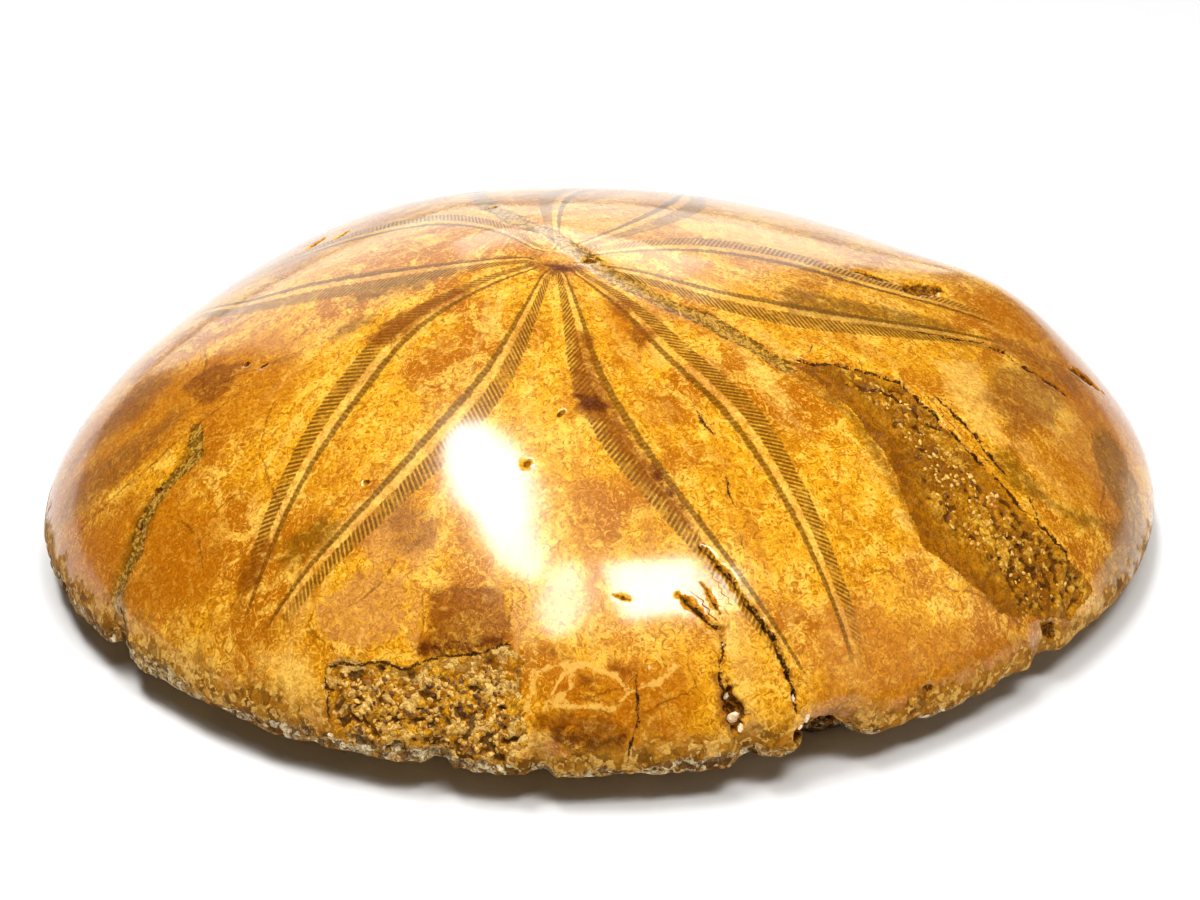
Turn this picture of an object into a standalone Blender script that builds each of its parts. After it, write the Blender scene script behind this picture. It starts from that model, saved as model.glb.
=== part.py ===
"""Fossil sea urchin: the petrified shell of a low, blunt-coned urchin, one closed solid.

+Z is up. The fossil lies on its underside, and the origin is the middle of its bounding
box, at the level that it rests on.

Two ways of giving a place are used, both in millimetres and turned into metres in code:
- plan: seen from above, measured from the point under the dome's top, +X right, +Y back;
- unrolled: the bearing as in plan, but the distance measured along the surface, from the
  dome's top down over the rim. It is for marks on the dome, whose sides are steep.
"""
import math

import bmesh
import bpy
import numpy as np
from mathutils import Vector, noise

MM = 0.001
NODE = "fossil_sea_urchin"

# Driving dimensions of the dome and its rim
HEIGHT = 27.2
RIM_HEIGHT = 4.2
LIP_INSET = 4.0
DOME_BLUNTNESS = 1.44
DOME_STEEPNESS = 1.66
# From the foot of the dome's top out to the rim, every 30 degrees from +X towards +Y
RIM_REACH = (49.6, 49.6, 45.4, 41.2, 40.4, 37.2, 37.6, 37.0, 36.7, 37.8, 40.4, 44.5)

# The unpolished lower edge: uneven, with nicks (bearing, half-width in degrees, bite)
ROUGH_LEVEL = 2.6
ROUGH_DEPTH = 0.55
ROUGH_GRAIN = 2.6
NICKS = ((218.0, 1.6, 0.9), (262.0, 1.3, 0.7), (272.5, 1.2, 0.6), (293.0, 1.4, 0.8),
         (301.5, 3.2, 1.3), (327.5, 1.8, 1.1), (64.0, 1.8, 0.7), (148.0, 2.2, 0.9))

# Patches of sediment let into the shell: their unrolled outlines, and how deep they lie
RIGHT_PATCH = ((19.0, -13.5), (20.5, -12.2), (24.5, -11.4), (28.5, -11.2), (31.0, -13.0),
               (34.0, -16.0), (37.0, -19.0), (40.5, -20.4), (45.5, -20.8), (46.5, -25.0),
               (41.0, -27.5), (36.0, -28.0), (31.0, -25.5), (28.5, -23.0), (26.0, -20.0),
               (23.5, -17.0))
FRONT_PATCH = ((-15.0, -37.5), (-9.0, -38.5), (-5.0, -39.0), (0.5, -38.0), (1.0, -41.0),
               (2.5, -46.0), (-3.0, -47.0), (-9.0, -45.5), (-14.0, -42.5))
PATCH_DEPTH = 0.35
PATCH_LUMPS = 0.40
PATCH_LUMP_SIZE = 1.7
PATCH_EDGE = 0.8

# Grooves: name, unrolled route, half-width, depth
GROOVES = (
    ("vein", ((-5.5, 19.0), (-3.5, 8.0), (-2.5, 4.5), (0.0, 0.0), (4.5, -4.5),
              (8.0, -8.0), (12.0, -9.8), (16.0, -12.0), (19.0, -13.5)), 1.0, 0.25),
    ("patch_crack", ((19.5, -12.2), (24.0, -11.4), (29.0, -11.2), (31.5, -13.2),
                     (37.0, -18.7), (39.5, -19.8), (44.0, -20.4)), 0.75, 0.60),
    ("outer_crack", ((31.5, -11.0), (34.0, -14.0), (36.5, -17.0), (39.0, -19.0)), 0.6, 0.45),
    ("front_crack", ((-15.0, -37.6), (-9.0, -38.5), (-5.0, -39.0), (1.0, -38.0)), 0.7, 0.50),
    ("middle_crack", ((0.8, -25.0), (1.0, -30.0), (1.4, -34.5), (1.0, -41.0)), 0.6, 0.30),
    ("stepped_crack", ((12.3, -34.0), (14.3, -35.7), (15.2, -36.5), (15.4, -40.0)), 0.7, 0.50),
    ("ray_crack", ((13.8, -31.5), (17.0, -33.5), (19.5, -37.0), (21.5, -40.5)), 0.7, 0.50),
    ("plate_crack", ((30.5, -3.8), (34.0, -1.6), (40.0, -0.8), (45.5, -1.6)), 0.6, 0.35),
    ("left_crack", ((-25.0, -13.0), (-28.5, -19.0), (-32.0, -22.0), (-35.5, -27.0)), 0.7, 0.35),
)

# Pits and chips: unrolled centre, half-length, half-width, turn in degrees, depth
PITS = (
    ((2.6, -6.0), 2.6, 1.1, 0.0, 0.45),
    ((31.0, 5.0), 3.4, 1.1, 8.0, 0.60),
    ((16.6, -40.9), 1.3, 2.0, 15.0, 1.10),
    ((24.5, -41.6), 3.2, 1.7, 14.0, 1.90),
    ((-28.6, -19.1), 0.9, 0.8, 0.0, 0.60),
    ((-31.3, -21.2), 1.1, 0.8, 35.0, 0.60),
    ((-18.0, 11.0), 1.6, 0.9, 60.0, 0.40),
    ((42.0, 2.5), 4.0, 1.6, 15.0, 0.35),
)

# The underside, in plan: hollowed towards the mouth, with five furrows between swellings
MOUTH = (1.5, -6.0)
MOUTH_REACH = 4.3
MOUTH_DEPTH = 4.2
MOUTH_CORNER = 0.14
HOLLOW = 5.2
FURROW_BEARINGS = (7.0, 73.0, 150.0, 225.0, 297.0)
FURROW_WIDTH = 2.4
FURROW_DEPTH = 0.9
SWELLING = 3.2
SWELLING_WIDTH = 7.0
VENT_BEARING = 115.0
VENT_FROM_MOUTH = 0.80
VENT_LENGTH = 3.6
VENT_WIDTH = 2.4
VENT_DEPTH = 1.6
WEAR = 0.7

# The mesh: an even ball of facets, wrapped over the shape and split where it has detail
BALL_SUBDIVISIONS = 5
RIM_TURN = math.radians(84.0)
LIP_TURN = math.radians(98.0)
SPLIT_PASSES = 3
FINE_FACET = 1.5
COARSE_FACET = 3.9
FACET_GROWTH = 0.7

PROFILE_STEPS = 120
LIP_STEPS = 12


def rim_reach(bearing):
    """Distance from the foot of the dome's top to the rim: a smooth closed curve."""
    count = len(RIM_REACH)
    waves = np.fft.rfft(RIM_REACH) / count
    reach = np.full_like(bearing, waves[0].real)
    for turn in range(1, count // 2 + 1):
        share = 1.0 if turn == count // 2 else 2.0
        reach += share * (waves[turn].real * np.cos(turn * bearing)
                          - waves[turn].imag * np.sin(turn * bearing))
    return reach


def dome_height(fraction):
    """Height of the dome at a fraction of the way from its top's foot to the rim."""
    fall = np.clip(1.0 - np.clip(fraction, 0.0, 1.0) ** DOME_BLUNTNESS, 0.0, 1.0)
    return RIM_HEIGHT + (HEIGHT - RIM_HEIGHT) * fall ** (1.0 / DOME_STEEPNESS)


def profile(reach):
    """One bearing's section: distance out, height and length along the surface."""
    step = np.linspace(0.0, 1.0, PROFILE_STEPS)
    fraction = 1.0 - (1.0 - step) ** 2.2
    turn = np.linspace(0.0, math.pi / 2, LIP_STEPS)[1:]
    out = np.concatenate([reach * fraction, reach - LIP_INSET * (1.0 - np.cos(turn))])
    height = np.concatenate([dome_height(fraction), RIM_HEIGHT * (1.0 - np.sin(turn))])
    run = np.concatenate([[0.0], np.cumsum(np.hypot(np.diff(out), np.diff(height)))])
    return out, height, run


def line_distance(points, route):
    """Distance from each point to a route of straight runs, in the flat."""
    nearest = np.full(len(points), np.inf)
    for start, end in zip(np.array(route[:-1]), np.array(route[1:])):
        run = end - start
        along = np.clip(((points - start) @ run) / (run @ run), 0.0, 1.0)
        gap = np.linalg.norm(points - start - along[:, None] * run, axis=1)
        nearest = np.minimum(nearest, gap)
    return nearest


def depth_inside(points, outline):
    """Distance to a closed outline: positive inside it, negative outside."""
    closed = list(outline) + [outline[0]]
    inside = np.zeros(len(points), bool)
    for (x1, y1), (x2, y2) in zip(closed[:-1], closed[1:]):
        spans = (y1 > points[:, 1]) != (y2 > points[:, 1])
        rise = y2 - y1 if y2 != y1 else 1.0
        crossing = x1 + (points[:, 1] - y1) * (x2 - x1) / rise
        inside ^= spans & (points[:, 0] < crossing)
    gap = line_distance(points, closed)
    return np.where(inside, gap, -gap)


def pit_reach(points, pit):
    """Distance from a pit's centre as a share of its size: 1 is its edge."""
    centre, half_length, half_width, turn, _ = pit
    away = points - np.array(centre)
    cosine, sine = math.cos(math.radians(turn)), math.sin(math.radians(turn))
    along = (away[:, 0] * cosine + away[:, 1] * sine) / half_length
    across = (away[:, 1] * cosine - away[:, 0] * sine) / half_width
    return np.hypot(along, across)


def smooth(value):
    """Ease from 0 to 1."""
    value = np.clip(value, 0.0, 1.0)
    return value * value * (3.0 - 2.0 * value)


def lumps(places, size, seed):
    """Smooth natural unevenness from -1 to 1 at each place."""
    offset = Vector((seed, 2.0 * seed, 3.0 * seed))
    return np.array([noise.noise(Vector(place) / size + offset) for place in places])


class Skin:
    """Every vertex of the ball: its bearing, and its place on the bare shape."""

    def __init__(self, directions):
        self.bearing = np.arctan2(directions[:, 1], directions[:, 0])
        tilt = np.arccos(np.clip(directions[:, 2], -1.0, 1.0))
        self.top = tilt <= LIP_TURN
        self.reach = rim_reach(self.bearing)
        self.run = np.zeros(len(tilt))
        self.rim_run = np.zeros(len(tilt))
        self.place = np.zeros((len(tilt), 3))
        for index in range(len(tilt)):
            self.set_place(index, tilt[index])
        self.unrolled = np.stack([self.run * np.cos(self.bearing),
                                  self.run * np.sin(self.bearing)], axis=1)
        self.measure_from_mouth()

    def measure_from_mouth(self):
        """Distances on the underside: from the mouth's middle, and from the furrows."""
        away = self.place[:, :2] - np.array(MOUTH)
        self.mouth_gap = np.linalg.norm(away, axis=1)
        self.mouth_bearing = np.arctan2(away[:, 1], away[:, 0])
        toward = np.stack([np.cos(self.mouth_bearing), np.sin(self.mouth_bearing)], axis=1)
        edge = rim_reach(self.mouth_bearing) - LIP_INSET - toward @ np.array(MOUTH)
        self.mouth_share = np.clip(self.mouth_gap / edge, 0.0, 1.0)
        self.furrow_gap = np.full(len(edge), np.inf)
        for furrow in FURROW_BEARINGS:
            turn = np.minimum(turn_from(self.mouth_bearing, furrow), math.pi / 2)
            self.furrow_gap = np.minimum(self.furrow_gap, self.mouth_gap * np.sin(turn))

    def set_place(self, index, tilt):
        """Wrap one vertex: down the dome and its lip, or in under it to the mouth's line."""
        out, height, run = profile(self.reach[index])
        rim_run = run[PROFILE_STEPS - 1]
        if tilt <= RIM_TURN:
            here = rim_run * tilt / RIM_TURN
        elif tilt <= LIP_TURN:
            here = rim_run + (run[-1] - rim_run) * (tilt - RIM_TURN) / (LIP_TURN - RIM_TURN)
        else:
            here = run[-1]
        distance = np.interp(here, run, out)
        if tilt > LIP_TURN:
            distance *= (math.pi - tilt) / (math.pi - LIP_TURN)
        self.run[index] = here
        self.rim_run[index] = rim_run
        self.place[index] = (distance * math.cos(self.bearing[index]),
                             distance * math.sin(self.bearing[index]),
                             np.interp(here, run, height))


def turn_from(bearing, other):
    """Smaller angle between bearings and another one, in radians."""
    turn = bearing - math.radians(other)
    return np.abs(np.arctan2(np.sin(turn), np.cos(turn)))


def underside_height(skin):
    """Height of the underside over the lip's foot."""
    share = skin.mouth_share
    fade = smooth((1.0 - share) / 0.3)
    furrow = np.exp(-(skin.furrow_gap / (FURROW_WIDTH * (0.6 + 0.6 * share))) ** 2)
    swelling = 1.0 - np.exp(-(skin.furrow_gap / SWELLING_WIDTH) ** 2)
    height = HOLLOW * (1.0 - share ** 2) + FURROW_DEPTH * furrow * fade
    height -= SWELLING * swelling * np.sin(math.pi * share ** 0.8) * fade
    corners = np.cos(5.0 * (skin.mouth_bearing - math.radians(FURROW_BEARINGS[1])))
    reach = MOUTH_REACH * (1.0 + MOUTH_CORNER * corners)
    height += MOUTH_DEPTH * smooth(1.9 - 1.4 * skin.mouth_gap / reach)
    return height + vent_depth(skin)


def vent_depth(skin):
    """The small oval vent near the back margin of the underside."""
    bearing = math.radians(VENT_BEARING)
    reach = float(rim_reach(np.array([bearing]))[0]) - LIP_INSET
    centre = np.array([math.cos(bearing), math.sin(bearing)]) * reach * VENT_FROM_MOUTH
    pit = (tuple(centre), VENT_LENGTH, VENT_WIDTH, VENT_BEARING, VENT_DEPTH)
    return VENT_DEPTH * smooth(1.6 - 1.3 * pit_reach(skin.place[:, :2], pit))


def dome_relief(skin):
    """How far each place of the dome stands proud of the bare shape; below 0 is sunk."""
    relief = np.zeros(len(skin.run))
    lumpy = lumps(skin.place, PATCH_LUMP_SIZE, 3.0)
    for outline in (RIGHT_PATCH, FRONT_PATCH):
        amount = smooth(depth_inside(skin.unrolled, outline) / PATCH_EDGE)
        relief += amount * (PATCH_LUMPS * lumpy - PATCH_DEPTH)
    for _, route, half_width, depth in GROOVES:
        gap = line_distance(skin.unrolled, route)
        relief -= depth * smooth(1.0 - gap / (1.4 * half_width))
    for pit in PITS:
        relief -= pit[-1] * smooth(1.5 - 1.2 * pit_reach(skin.unrolled, pit))
    return relief


def rim_relief(skin):
    """The unpolished edge under the rim: rough, with nicks broken out of it."""
    low = smooth((ROUGH_LEVEL + 1.0 - skin.place[:, 2]) / 1.6)
    relief = low * ROUGH_DEPTH * (lumps(skin.place, ROUGH_GRAIN, 7.0) - 0.5)
    below_rim = smooth((skin.run - skin.rim_run + 3.0) / 3.0)
    for bearing, half_width, bite in NICKS:
        turn = np.degrees(turn_from(skin.bearing, bearing))
        relief -= bite * below_rim * smooth(1.4 - turn / half_width)
    return relief


def facet_limit(skin):
    """Longest edge wanted at each place: short at a mark, growing away from it."""
    gap = np.full(len(skin.run), np.inf)
    for _, route, half_width, _ in GROOVES:
        gap = np.minimum(gap, line_distance(skin.unrolled, route) - half_width)
    for pit in PITS:
        gap = np.minimum(gap, (pit_reach(skin.unrolled, pit) - 1.0) * min(pit[1:3]))
    for outline in (RIGHT_PATCH, FRONT_PATCH):
        gap = np.minimum(gap, -depth_inside(skin.unrolled, outline))
    mouth = np.linalg.norm(skin.place[:, :2] - np.array(MOUTH), axis=1) - 1.4 * MOUTH_REACH
    gap = np.where(skin.top, gap, np.minimum(mouth, skin.furrow_gap - FURROW_WIDTH))
    return np.clip(FINE_FACET + FACET_GROWTH * gap, FINE_FACET, COARSE_FACET)


def ball_directions(bm):
    return np.array([vertex.co.normalized() for vertex in bm.verts])


def split_detail(bm):
    """Split the long edges of the ball, to a shorter length where there is detail."""
    for _ in range(SPLIT_PASSES):
        bm.verts.index_update()
        skin = Skin(ball_directions(bm))
        limit = facet_limit(skin)
        long_edges = []
        for edge in bm.edges:
            first, second = edge.verts[0].index, edge.verts[1].index
            length = np.linalg.norm(skin.place[first] - skin.place[second])
            if length > (limit[first] + limit[second]) / 2:
                long_edges.append(edge)
        bmesh.ops.subdivide_edges(bm, edges=long_edges, cuts=1)
        bmesh.ops.triangulate(bm, faces=bm.faces[:])
        for vertex in bm.verts:
            vertex.co.normalize()


def shape_ball(bm):
    """Move the ball's vertices onto the fossil's skin, with its relief."""
    skin = Skin(ball_directions(bm))
    under = ~skin.top
    skin.place[under, 2] = underside_height(skin)[under]
    for vertex, place in zip(bm.verts, skin.place):
        vertex.co = place
    bm.normal_update()
    relief = np.where(skin.top, dome_relief(skin) + rim_relief(skin), 0.0)
    for vertex, amount in zip(bm.verts, relief):
        vertex.co += vertex.normal * amount
        vertex.co.z = max(vertex.co.z - WEAR, 0.0)
        vertex.co *= MM


def box_middle():
    """Middle of the rim's box in plan, which the origin is moved to."""
    bearing = np.linspace(0.0, 2.0 * math.pi, 720, endpoint=False)
    reach = rim_reach(bearing)
    across, back = reach * np.cos(bearing), reach * np.sin(bearing)
    return (across.max() + across.min()) / 2 * MM, (back.max() + back.min()) / 2 * MM


def stone_material():
    material = bpy.data.materials.new("polished_calcite")
    material.use_nodes = True
    surface = material.node_tree.nodes["Principled BSDF"]
    surface.inputs["Base Color"].default_value = (0.72, 0.42, 0.13, 1.0)
    surface.inputs["Roughness"].default_value = 0.22
    surface.inputs["Metallic"].default_value = 0.0
    return material


def build_urchin(collection):
    bm = bmesh.new()
    bmesh.ops.create_icosphere(bm, subdivisions=BALL_SUBDIVISIONS, radius=1.0)
    split_detail(bm)
    shape_ball(bm)
    mesh = bpy.data.meshes.new(NODE)
    bm.to_mesh(mesh)
    bm.free()
    mesh.shade_smooth()
    mesh.materials.append(stone_material())
    urchin = bpy.data.objects.new(NODE, mesh)
    middle_x, middle_y = box_middle()
    urchin.location = (-middle_x, -middle_y, 0.0)
    collection.objects.link(urchin)
    return urchin


def main():
    for old in list(bpy.data.objects):
        bpy.data.objects.remove(old, do_unlink=True)
    collection = bpy.data.collections.new("fossil sea urchin")
    bpy.context.scene.collection.children.link(collection)
    build_urchin(collection)


main()
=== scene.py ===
"""Looks of the fossil sea urchin: a polished dome of honey calcite on a raw grey-beige rim.

Lengths are in millimetres, turned into metres where the mesh is made. Places are given in
plan (seen from above, from the point under the dome's top, +X right, +Y back) or unrolled
(the same bearing, but the distance is measured along the skin, from the dome's top).
"""
import math
import random

import bmesh
import bpy
import numpy as np
from mathutils import Matrix, Vector, noise


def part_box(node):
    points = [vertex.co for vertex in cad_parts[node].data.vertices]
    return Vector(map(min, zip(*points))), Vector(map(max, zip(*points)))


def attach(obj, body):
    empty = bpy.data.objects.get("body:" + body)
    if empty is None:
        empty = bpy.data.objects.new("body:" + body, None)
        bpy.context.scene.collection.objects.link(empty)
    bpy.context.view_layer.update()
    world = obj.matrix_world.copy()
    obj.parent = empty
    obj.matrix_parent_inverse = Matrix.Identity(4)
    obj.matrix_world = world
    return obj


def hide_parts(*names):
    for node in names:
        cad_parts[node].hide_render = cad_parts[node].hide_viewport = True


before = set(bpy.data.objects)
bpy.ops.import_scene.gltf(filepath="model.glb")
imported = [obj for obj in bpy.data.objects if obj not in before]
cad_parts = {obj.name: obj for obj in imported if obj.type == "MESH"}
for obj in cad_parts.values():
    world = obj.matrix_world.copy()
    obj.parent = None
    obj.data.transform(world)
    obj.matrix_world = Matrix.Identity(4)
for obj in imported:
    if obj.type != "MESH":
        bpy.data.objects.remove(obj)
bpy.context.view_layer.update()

MM = 0.001
# A distance that stands for "nowhere near", and a share of a width that is well outside it
FAR = 99.0
OUTSIDE = 9.0
NODE = "fossil_sea_urchin"

# The bare shape, as in the solid
HEIGHT = 27.2
RIM_HEIGHT = 4.2
LIP_INSET = 4.0
DOME_BLUNTNESS = 1.44
DOME_STEEPNESS = 1.66
RIM_REACH = (49.6, 49.6, 45.4, 41.2, 40.4, 37.2, 37.6, 37.0, 36.7, 37.8, 40.4, 44.5)
WEAR = 0.7
RIM_TURN = math.radians(84.0)
LIP_TURN = math.radians(98.0)

ROUGH_LEVEL = 3.5
ROUGH_DEPTH = 0.55
ROUGH_GRAIN = 2.6
RAW_BEARING = 235.0
RAW_RISE = 1.1
# The front of the lip is cut back under the rim
UNDERCUT = 2.5
UNDERCUT_START = 0.8
UNDERCUT_LENGTH = 5.2
UNDERCUT_BEARING = 268.0
FRONT_INSET = 3.0
NICKS = ((218.0, 1.6, 0.9), (262.0, 1.3, 0.7), (272.5, 1.2, 0.6), (293.0, 1.4, 0.8),
         (301.5, 3.2, 1.5), (327.5, 1.8, 0.5), (64.0, 1.8, 0.7), (148.0, 2.2, 0.9))

RIGHT_PATCH = ((19.6, -12.6), (21.7, -12.0), (24.3, -11.3), (27.1, -11.2), (28.9, -11.4),
               (31.6, -13.8), (34.1, -15.8), (36.7, -17.4), (39.4, -19.1), (43.7, -20.5),
               (47.0, -20.9), (45.0, -24.7), (41.1, -26.7), (37.4, -28.0), (33.4, -26.8),
               (30.2, -25.8), (28.5, -22.1), (26.9, -18.8), (25.0, -16.4), (22.3, -14.1))
FRONT_PATCH = ((-14.3, -37.7), (-13.1, -37.5), (-8.9, -38.7), (-6.4, -39.0), (-3.7, -38.7),
               (-0.5, -38.3), (0.9, -39.0), (0.5, -41.7), (1.2, -44.7), (-1.2, -46.9),
               (-7.1, -46.0), (-10.8, -45.1), (-14.5, -43.3), (-14.8, -40.7), (-15.1, -39.3))
PATCH_BORDER = ((19.6, -12.6), (22.3, -14.1), (25.0, -16.4), (26.9, -18.8), (28.5, -22.1),
                (30.2, -25.8), (33.4, -26.8), (37.4, -28.0))
PATCH_DEPTH = 0.16
PATCH_LUMPS = 0.22
PATCH_LUMP_SIZE = 1.7
PATCH_EDGE = 0.8
# The front patch's paler stone fades out over this stretch, left to right
FRONT_END = 8.0
FRONT_FADE = 4.0

# Broad swellings and hollows of the dome: unrolled centre, reach, rise
SWELLS = (((39.0, 11.0), 7.5, 1.5), ((47.5, -5.0), 8.0, -0.5))

# Veins: unrolled route, half-width
VEINS = (
    (((-5.0, 17.0), (-3.9, 9.4), (-2.8, 4.7), (-0.8, 0.3), (2.0, -1.9), (4.9, -4.9),
      (6.6, -6.7), (8.2, -7.6), (10.9, -9.2), (14.1, -10.2), (17.0, -11.8), (19.6, -13.2)), 0.65),
    (((-25.5, -14.6), (-25.2, -17.6), (-27.0, -18.4), (-28.7, -19.4), (-30.4, -20.9),
      (-31.0, -22.9), (-32.6, -24.2), (-33.9, -25.4), (-33.9, -28.0)), 0.55),
)
# Cracks: unrolled route, half-width, depth
CRACKS = (
    (((19.6, -12.0), (21.7, -12.0), (24.3, -11.3), (27.1, -11.2), (28.7, -11.2), (30.5, -12.6),
      (31.9, -13.9), (33.7, -15.2), (35.6, -16.6), (37.6, -18.1), (39.4, -19.0)), 0.15, 0.35),
    (((31.4, -10.9), (32.9, -12.5), (34.6, -13.6), (35.6, -14.9), (37.4, -16.4)), 0.17, 0.20),
    (((39.4, -17.1), (40.0, -18.9), (42.0, -19.8), (43.5, -20.3), (43.8, -20.9)), 0.17, 0.20),
    (((23.5, -13.0), (25.6, -13.2), (27.7, -12.6), (29.5, -13.6), (30.2, -14.3), (32.4, -14.6)),
     0.13, 0.15),
    (((-14.8, -41.5), (-14.6, -37.8), (-11.0, -38.3), (-8.6, -39.0), (-4.7, -38.7),
      (-0.2, -38.3)), 0.11, 0.12),
    (((11.7, -34.0), (12.8, -35.2), (14.0, -35.9), (15.2, -36.2), (15.4, -39.7),
      (17.0, -42.1)), 0.16, 0.35),
    (((13.3, -33.0), (14.1, -34.1), (15.1, -35.2)), 0.10, 0.20),
    (((13.2, -30.8), (14.5, -31.7), (17.1, -34.0), (19.4, -36.5), (20.7, -38.6),
      (21.7, -40.7)), 0.20, 0.40),
    (((30.2, -3.4), (32.0, -2.7), (33.0, -2.5), (36.6, -0.3)), 0.15, 0.12),
    (((36.7, -1.1), (38.5, -0.4), (40.3, -1.0), (42.6, -0.9), (45.2, -1.2)), 0.20, 0.20),
    (((21.5, -11.0), (21.9, -9.6)), 0.10, 0.05),
    (((12.6, -19.2), (14.1, -21.7)), 0.09, 0.05),
    (((14.9, -24.8), (16.0, -27.2)), 0.09, 0.05),
    (((16.1, -29.0), (16.5, -30.4)), 0.09, 0.05),
    (((7.0, -34.6), (8.4, -35.1)), 0.13, 0.05),
    (((9.0, -39.8), (9.3, -43.0), (8.8, -46.0)), 0.10, 0.12),
    (((-28.6, -18.8), (-29.6, -19.6)), 0.12, 0.08),
    (((-30.3, -20.4), (-30.7, -22.0)), 0.12, 0.08),
    (((-33.4, -26.0), (-34.0, -28.6)), 0.16, 0.20),
)
CRACK_TAPER = 1.4
# Seams between plates and old scratches, which show as fine brown lines
SEAMS = (
    ((0.8, -25.1), (1.1, -27.8), (1.5, -31.9), (0.9, -33.0), (1.3, -37.0)),
    ((-6.6, -33.3), (-6.7, -35.1), (-7.3, -38.6)),
    ((-15.1, -33.2), (-15.8, -35.0), (-13.2, -37.2)),
    ((-8.2, -30.2), (-9.6, -33.0), (-13.6, -34.6)),
    ((-0.3, -33.6), (-0.3, -38.2)),
    ((2.0, -42.4), (4.6, -42.3), (6.3, -42.4), (7.9, -42.9), (8.7, -43.9)),
    ((9.3, -42.7), (11.0, -41.8), (12.6, -40.7), (13.5, -40.3), (12.8, -38.8)),
    ((4.1, -41.2), (5.8, -41.5), (7.8, -41.0), (9.9, -39.1)),
    ((-18.5, -14.5), (-20.0, -19.5), (-17.5, -26.5)),
    ((-40.0, -16.8), (-36.3, -16.7), (-32.7, -16.5), (-29.0, -15.7), (-21.0, -12.6)),
    ((-15.1, -5.9), (-16.9, -8.9), (-19.3, -10.7)),
    ((-25.4, -4.2), (-25.2, -10.6), (-19.6, -11.2)),
    ((-28.0, -21.5), (-25.0, -24.5), (-24.5, -29.0)),
    ((-24.6, -24.6), (-22.0, -22.6), (-20.0, -23.4)),
    ((-18.0, -1.2), (-13.0, -3.7), (-8.7, -4.5), (-4.7, -4.9), (-0.5, -5.1)),
    ((46.0, -4.4), (47.6, -9.0), (46.6, -14.6)),
    ((50.0, -5.0), (51.6, -10.0), (50.4, -17.0)),
    ((30.5, -28.6), (36.5, -27.6), (41.5, -27.8)),
    ((23.6, -30.6), (27.6, -28.8), (29.6, -29.4)),
    ((12.0, 9.0), (20.0, 10.5), (30.0, 9.5)),
    ((19.8, 1.2), (23.8, 1.6), (28.0, 1.3), (32.6, 2.6), (37.4, 4.3)),
    ((41.7, 1.8), (44.8, 3.5), (47.0, 3.1), (49.7, 2.0)),
    ((-30.0, 8.0), (-24.0, 14.0), (-20.0, 22.0)),
    ((8.0, 30.0), (16.0, 27.0), (26.0, 28.0)),
)
SEAM_WIDTH = 0.09
SEAM_TAPER = 3.0
# Pale borders round the small plates low on the front
BORDERS = (
    ((1.6, -39.6), (1.3, -41.0), (0.9, -42.2), (1.5, -42.8)),
    ((2.0, -42.4), (4.6, -42.1), (7.8, -42.2), (8.4, -41.1), (7.6, -40.1), (6.1, -39.6),
     (4.5, -39.5), (1.9, -40.0)),
    ((4.5, -39.5), (4.1, -41.1), (2.2, -42.3)),
    ((8.4, -41.1), (10.5, -40.4), (12.4, -38.8)),
)
BORDER_WIDTH = 0.22
BORDER_TAPER = 1.0

# Pits: unrolled centre, half-length, half-width, turn, depth
PITS = (
    ((27.8, 4.0), 1.6, 0.45, 5.0, 0.30),
    ((31.8, 4.7), 2.2, 0.9, 38.0, 0.55),
    ((16.6, -41.3), 0.7, 1.7, 22.0, 0.90),
    ((24.8, -41.6), 2.8, 1.1, 14.0, 1.50),
    ((-28.8, -18.8), 0.35, 0.28, 0.0, 0.30),
    ((-30.6, -21.0), 0.30, 0.24, 35.0, 0.30),
    ((-21.4, -9.8), 0.30, 0.22, 70.0, 0.20),
    ((-19.8, -10.9), 0.28, 0.20, 20.0, 0.18),
    ((-18.0, 11.0), 1.3, 0.4, 60.0, 0.30),
    ((-15.6, 9.8), 0.9, 0.35, 55.0, 0.25),
    ((0.8, -24.9), 0.26, 0.24, 0.0, 0.30),
    ((-11.1, -25.0), 0.22, 0.18, 0.0, 0.12),
    ((3.1, -20.9), 0.35, 0.20, 20.0, 0.15),
    ((43.0, -0.9), 2.0, 0.35, -6.0, 0.20),
    ((47.0, 4.4), 2.0, 0.5, 20.0, 0.20),
    ((-2.7, 4.7), 0.5, 0.3, 30.0, 0.25),
    ((4.9, -4.9), 0.45, 0.35, 0.0, 0.20),
    ((43.2, -26.5), 1.1, 0.4, 0.0, 0.35),
    ((32.5, -35.8), 0.5, 0.3, 0.0, 0.15),
    ((12.5, 21.0), 1.1, 0.4, 20.0, 0.25),
    ((-27.0, 21.0), 1.3, 0.5, 130.0, 0.30),
)

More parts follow.
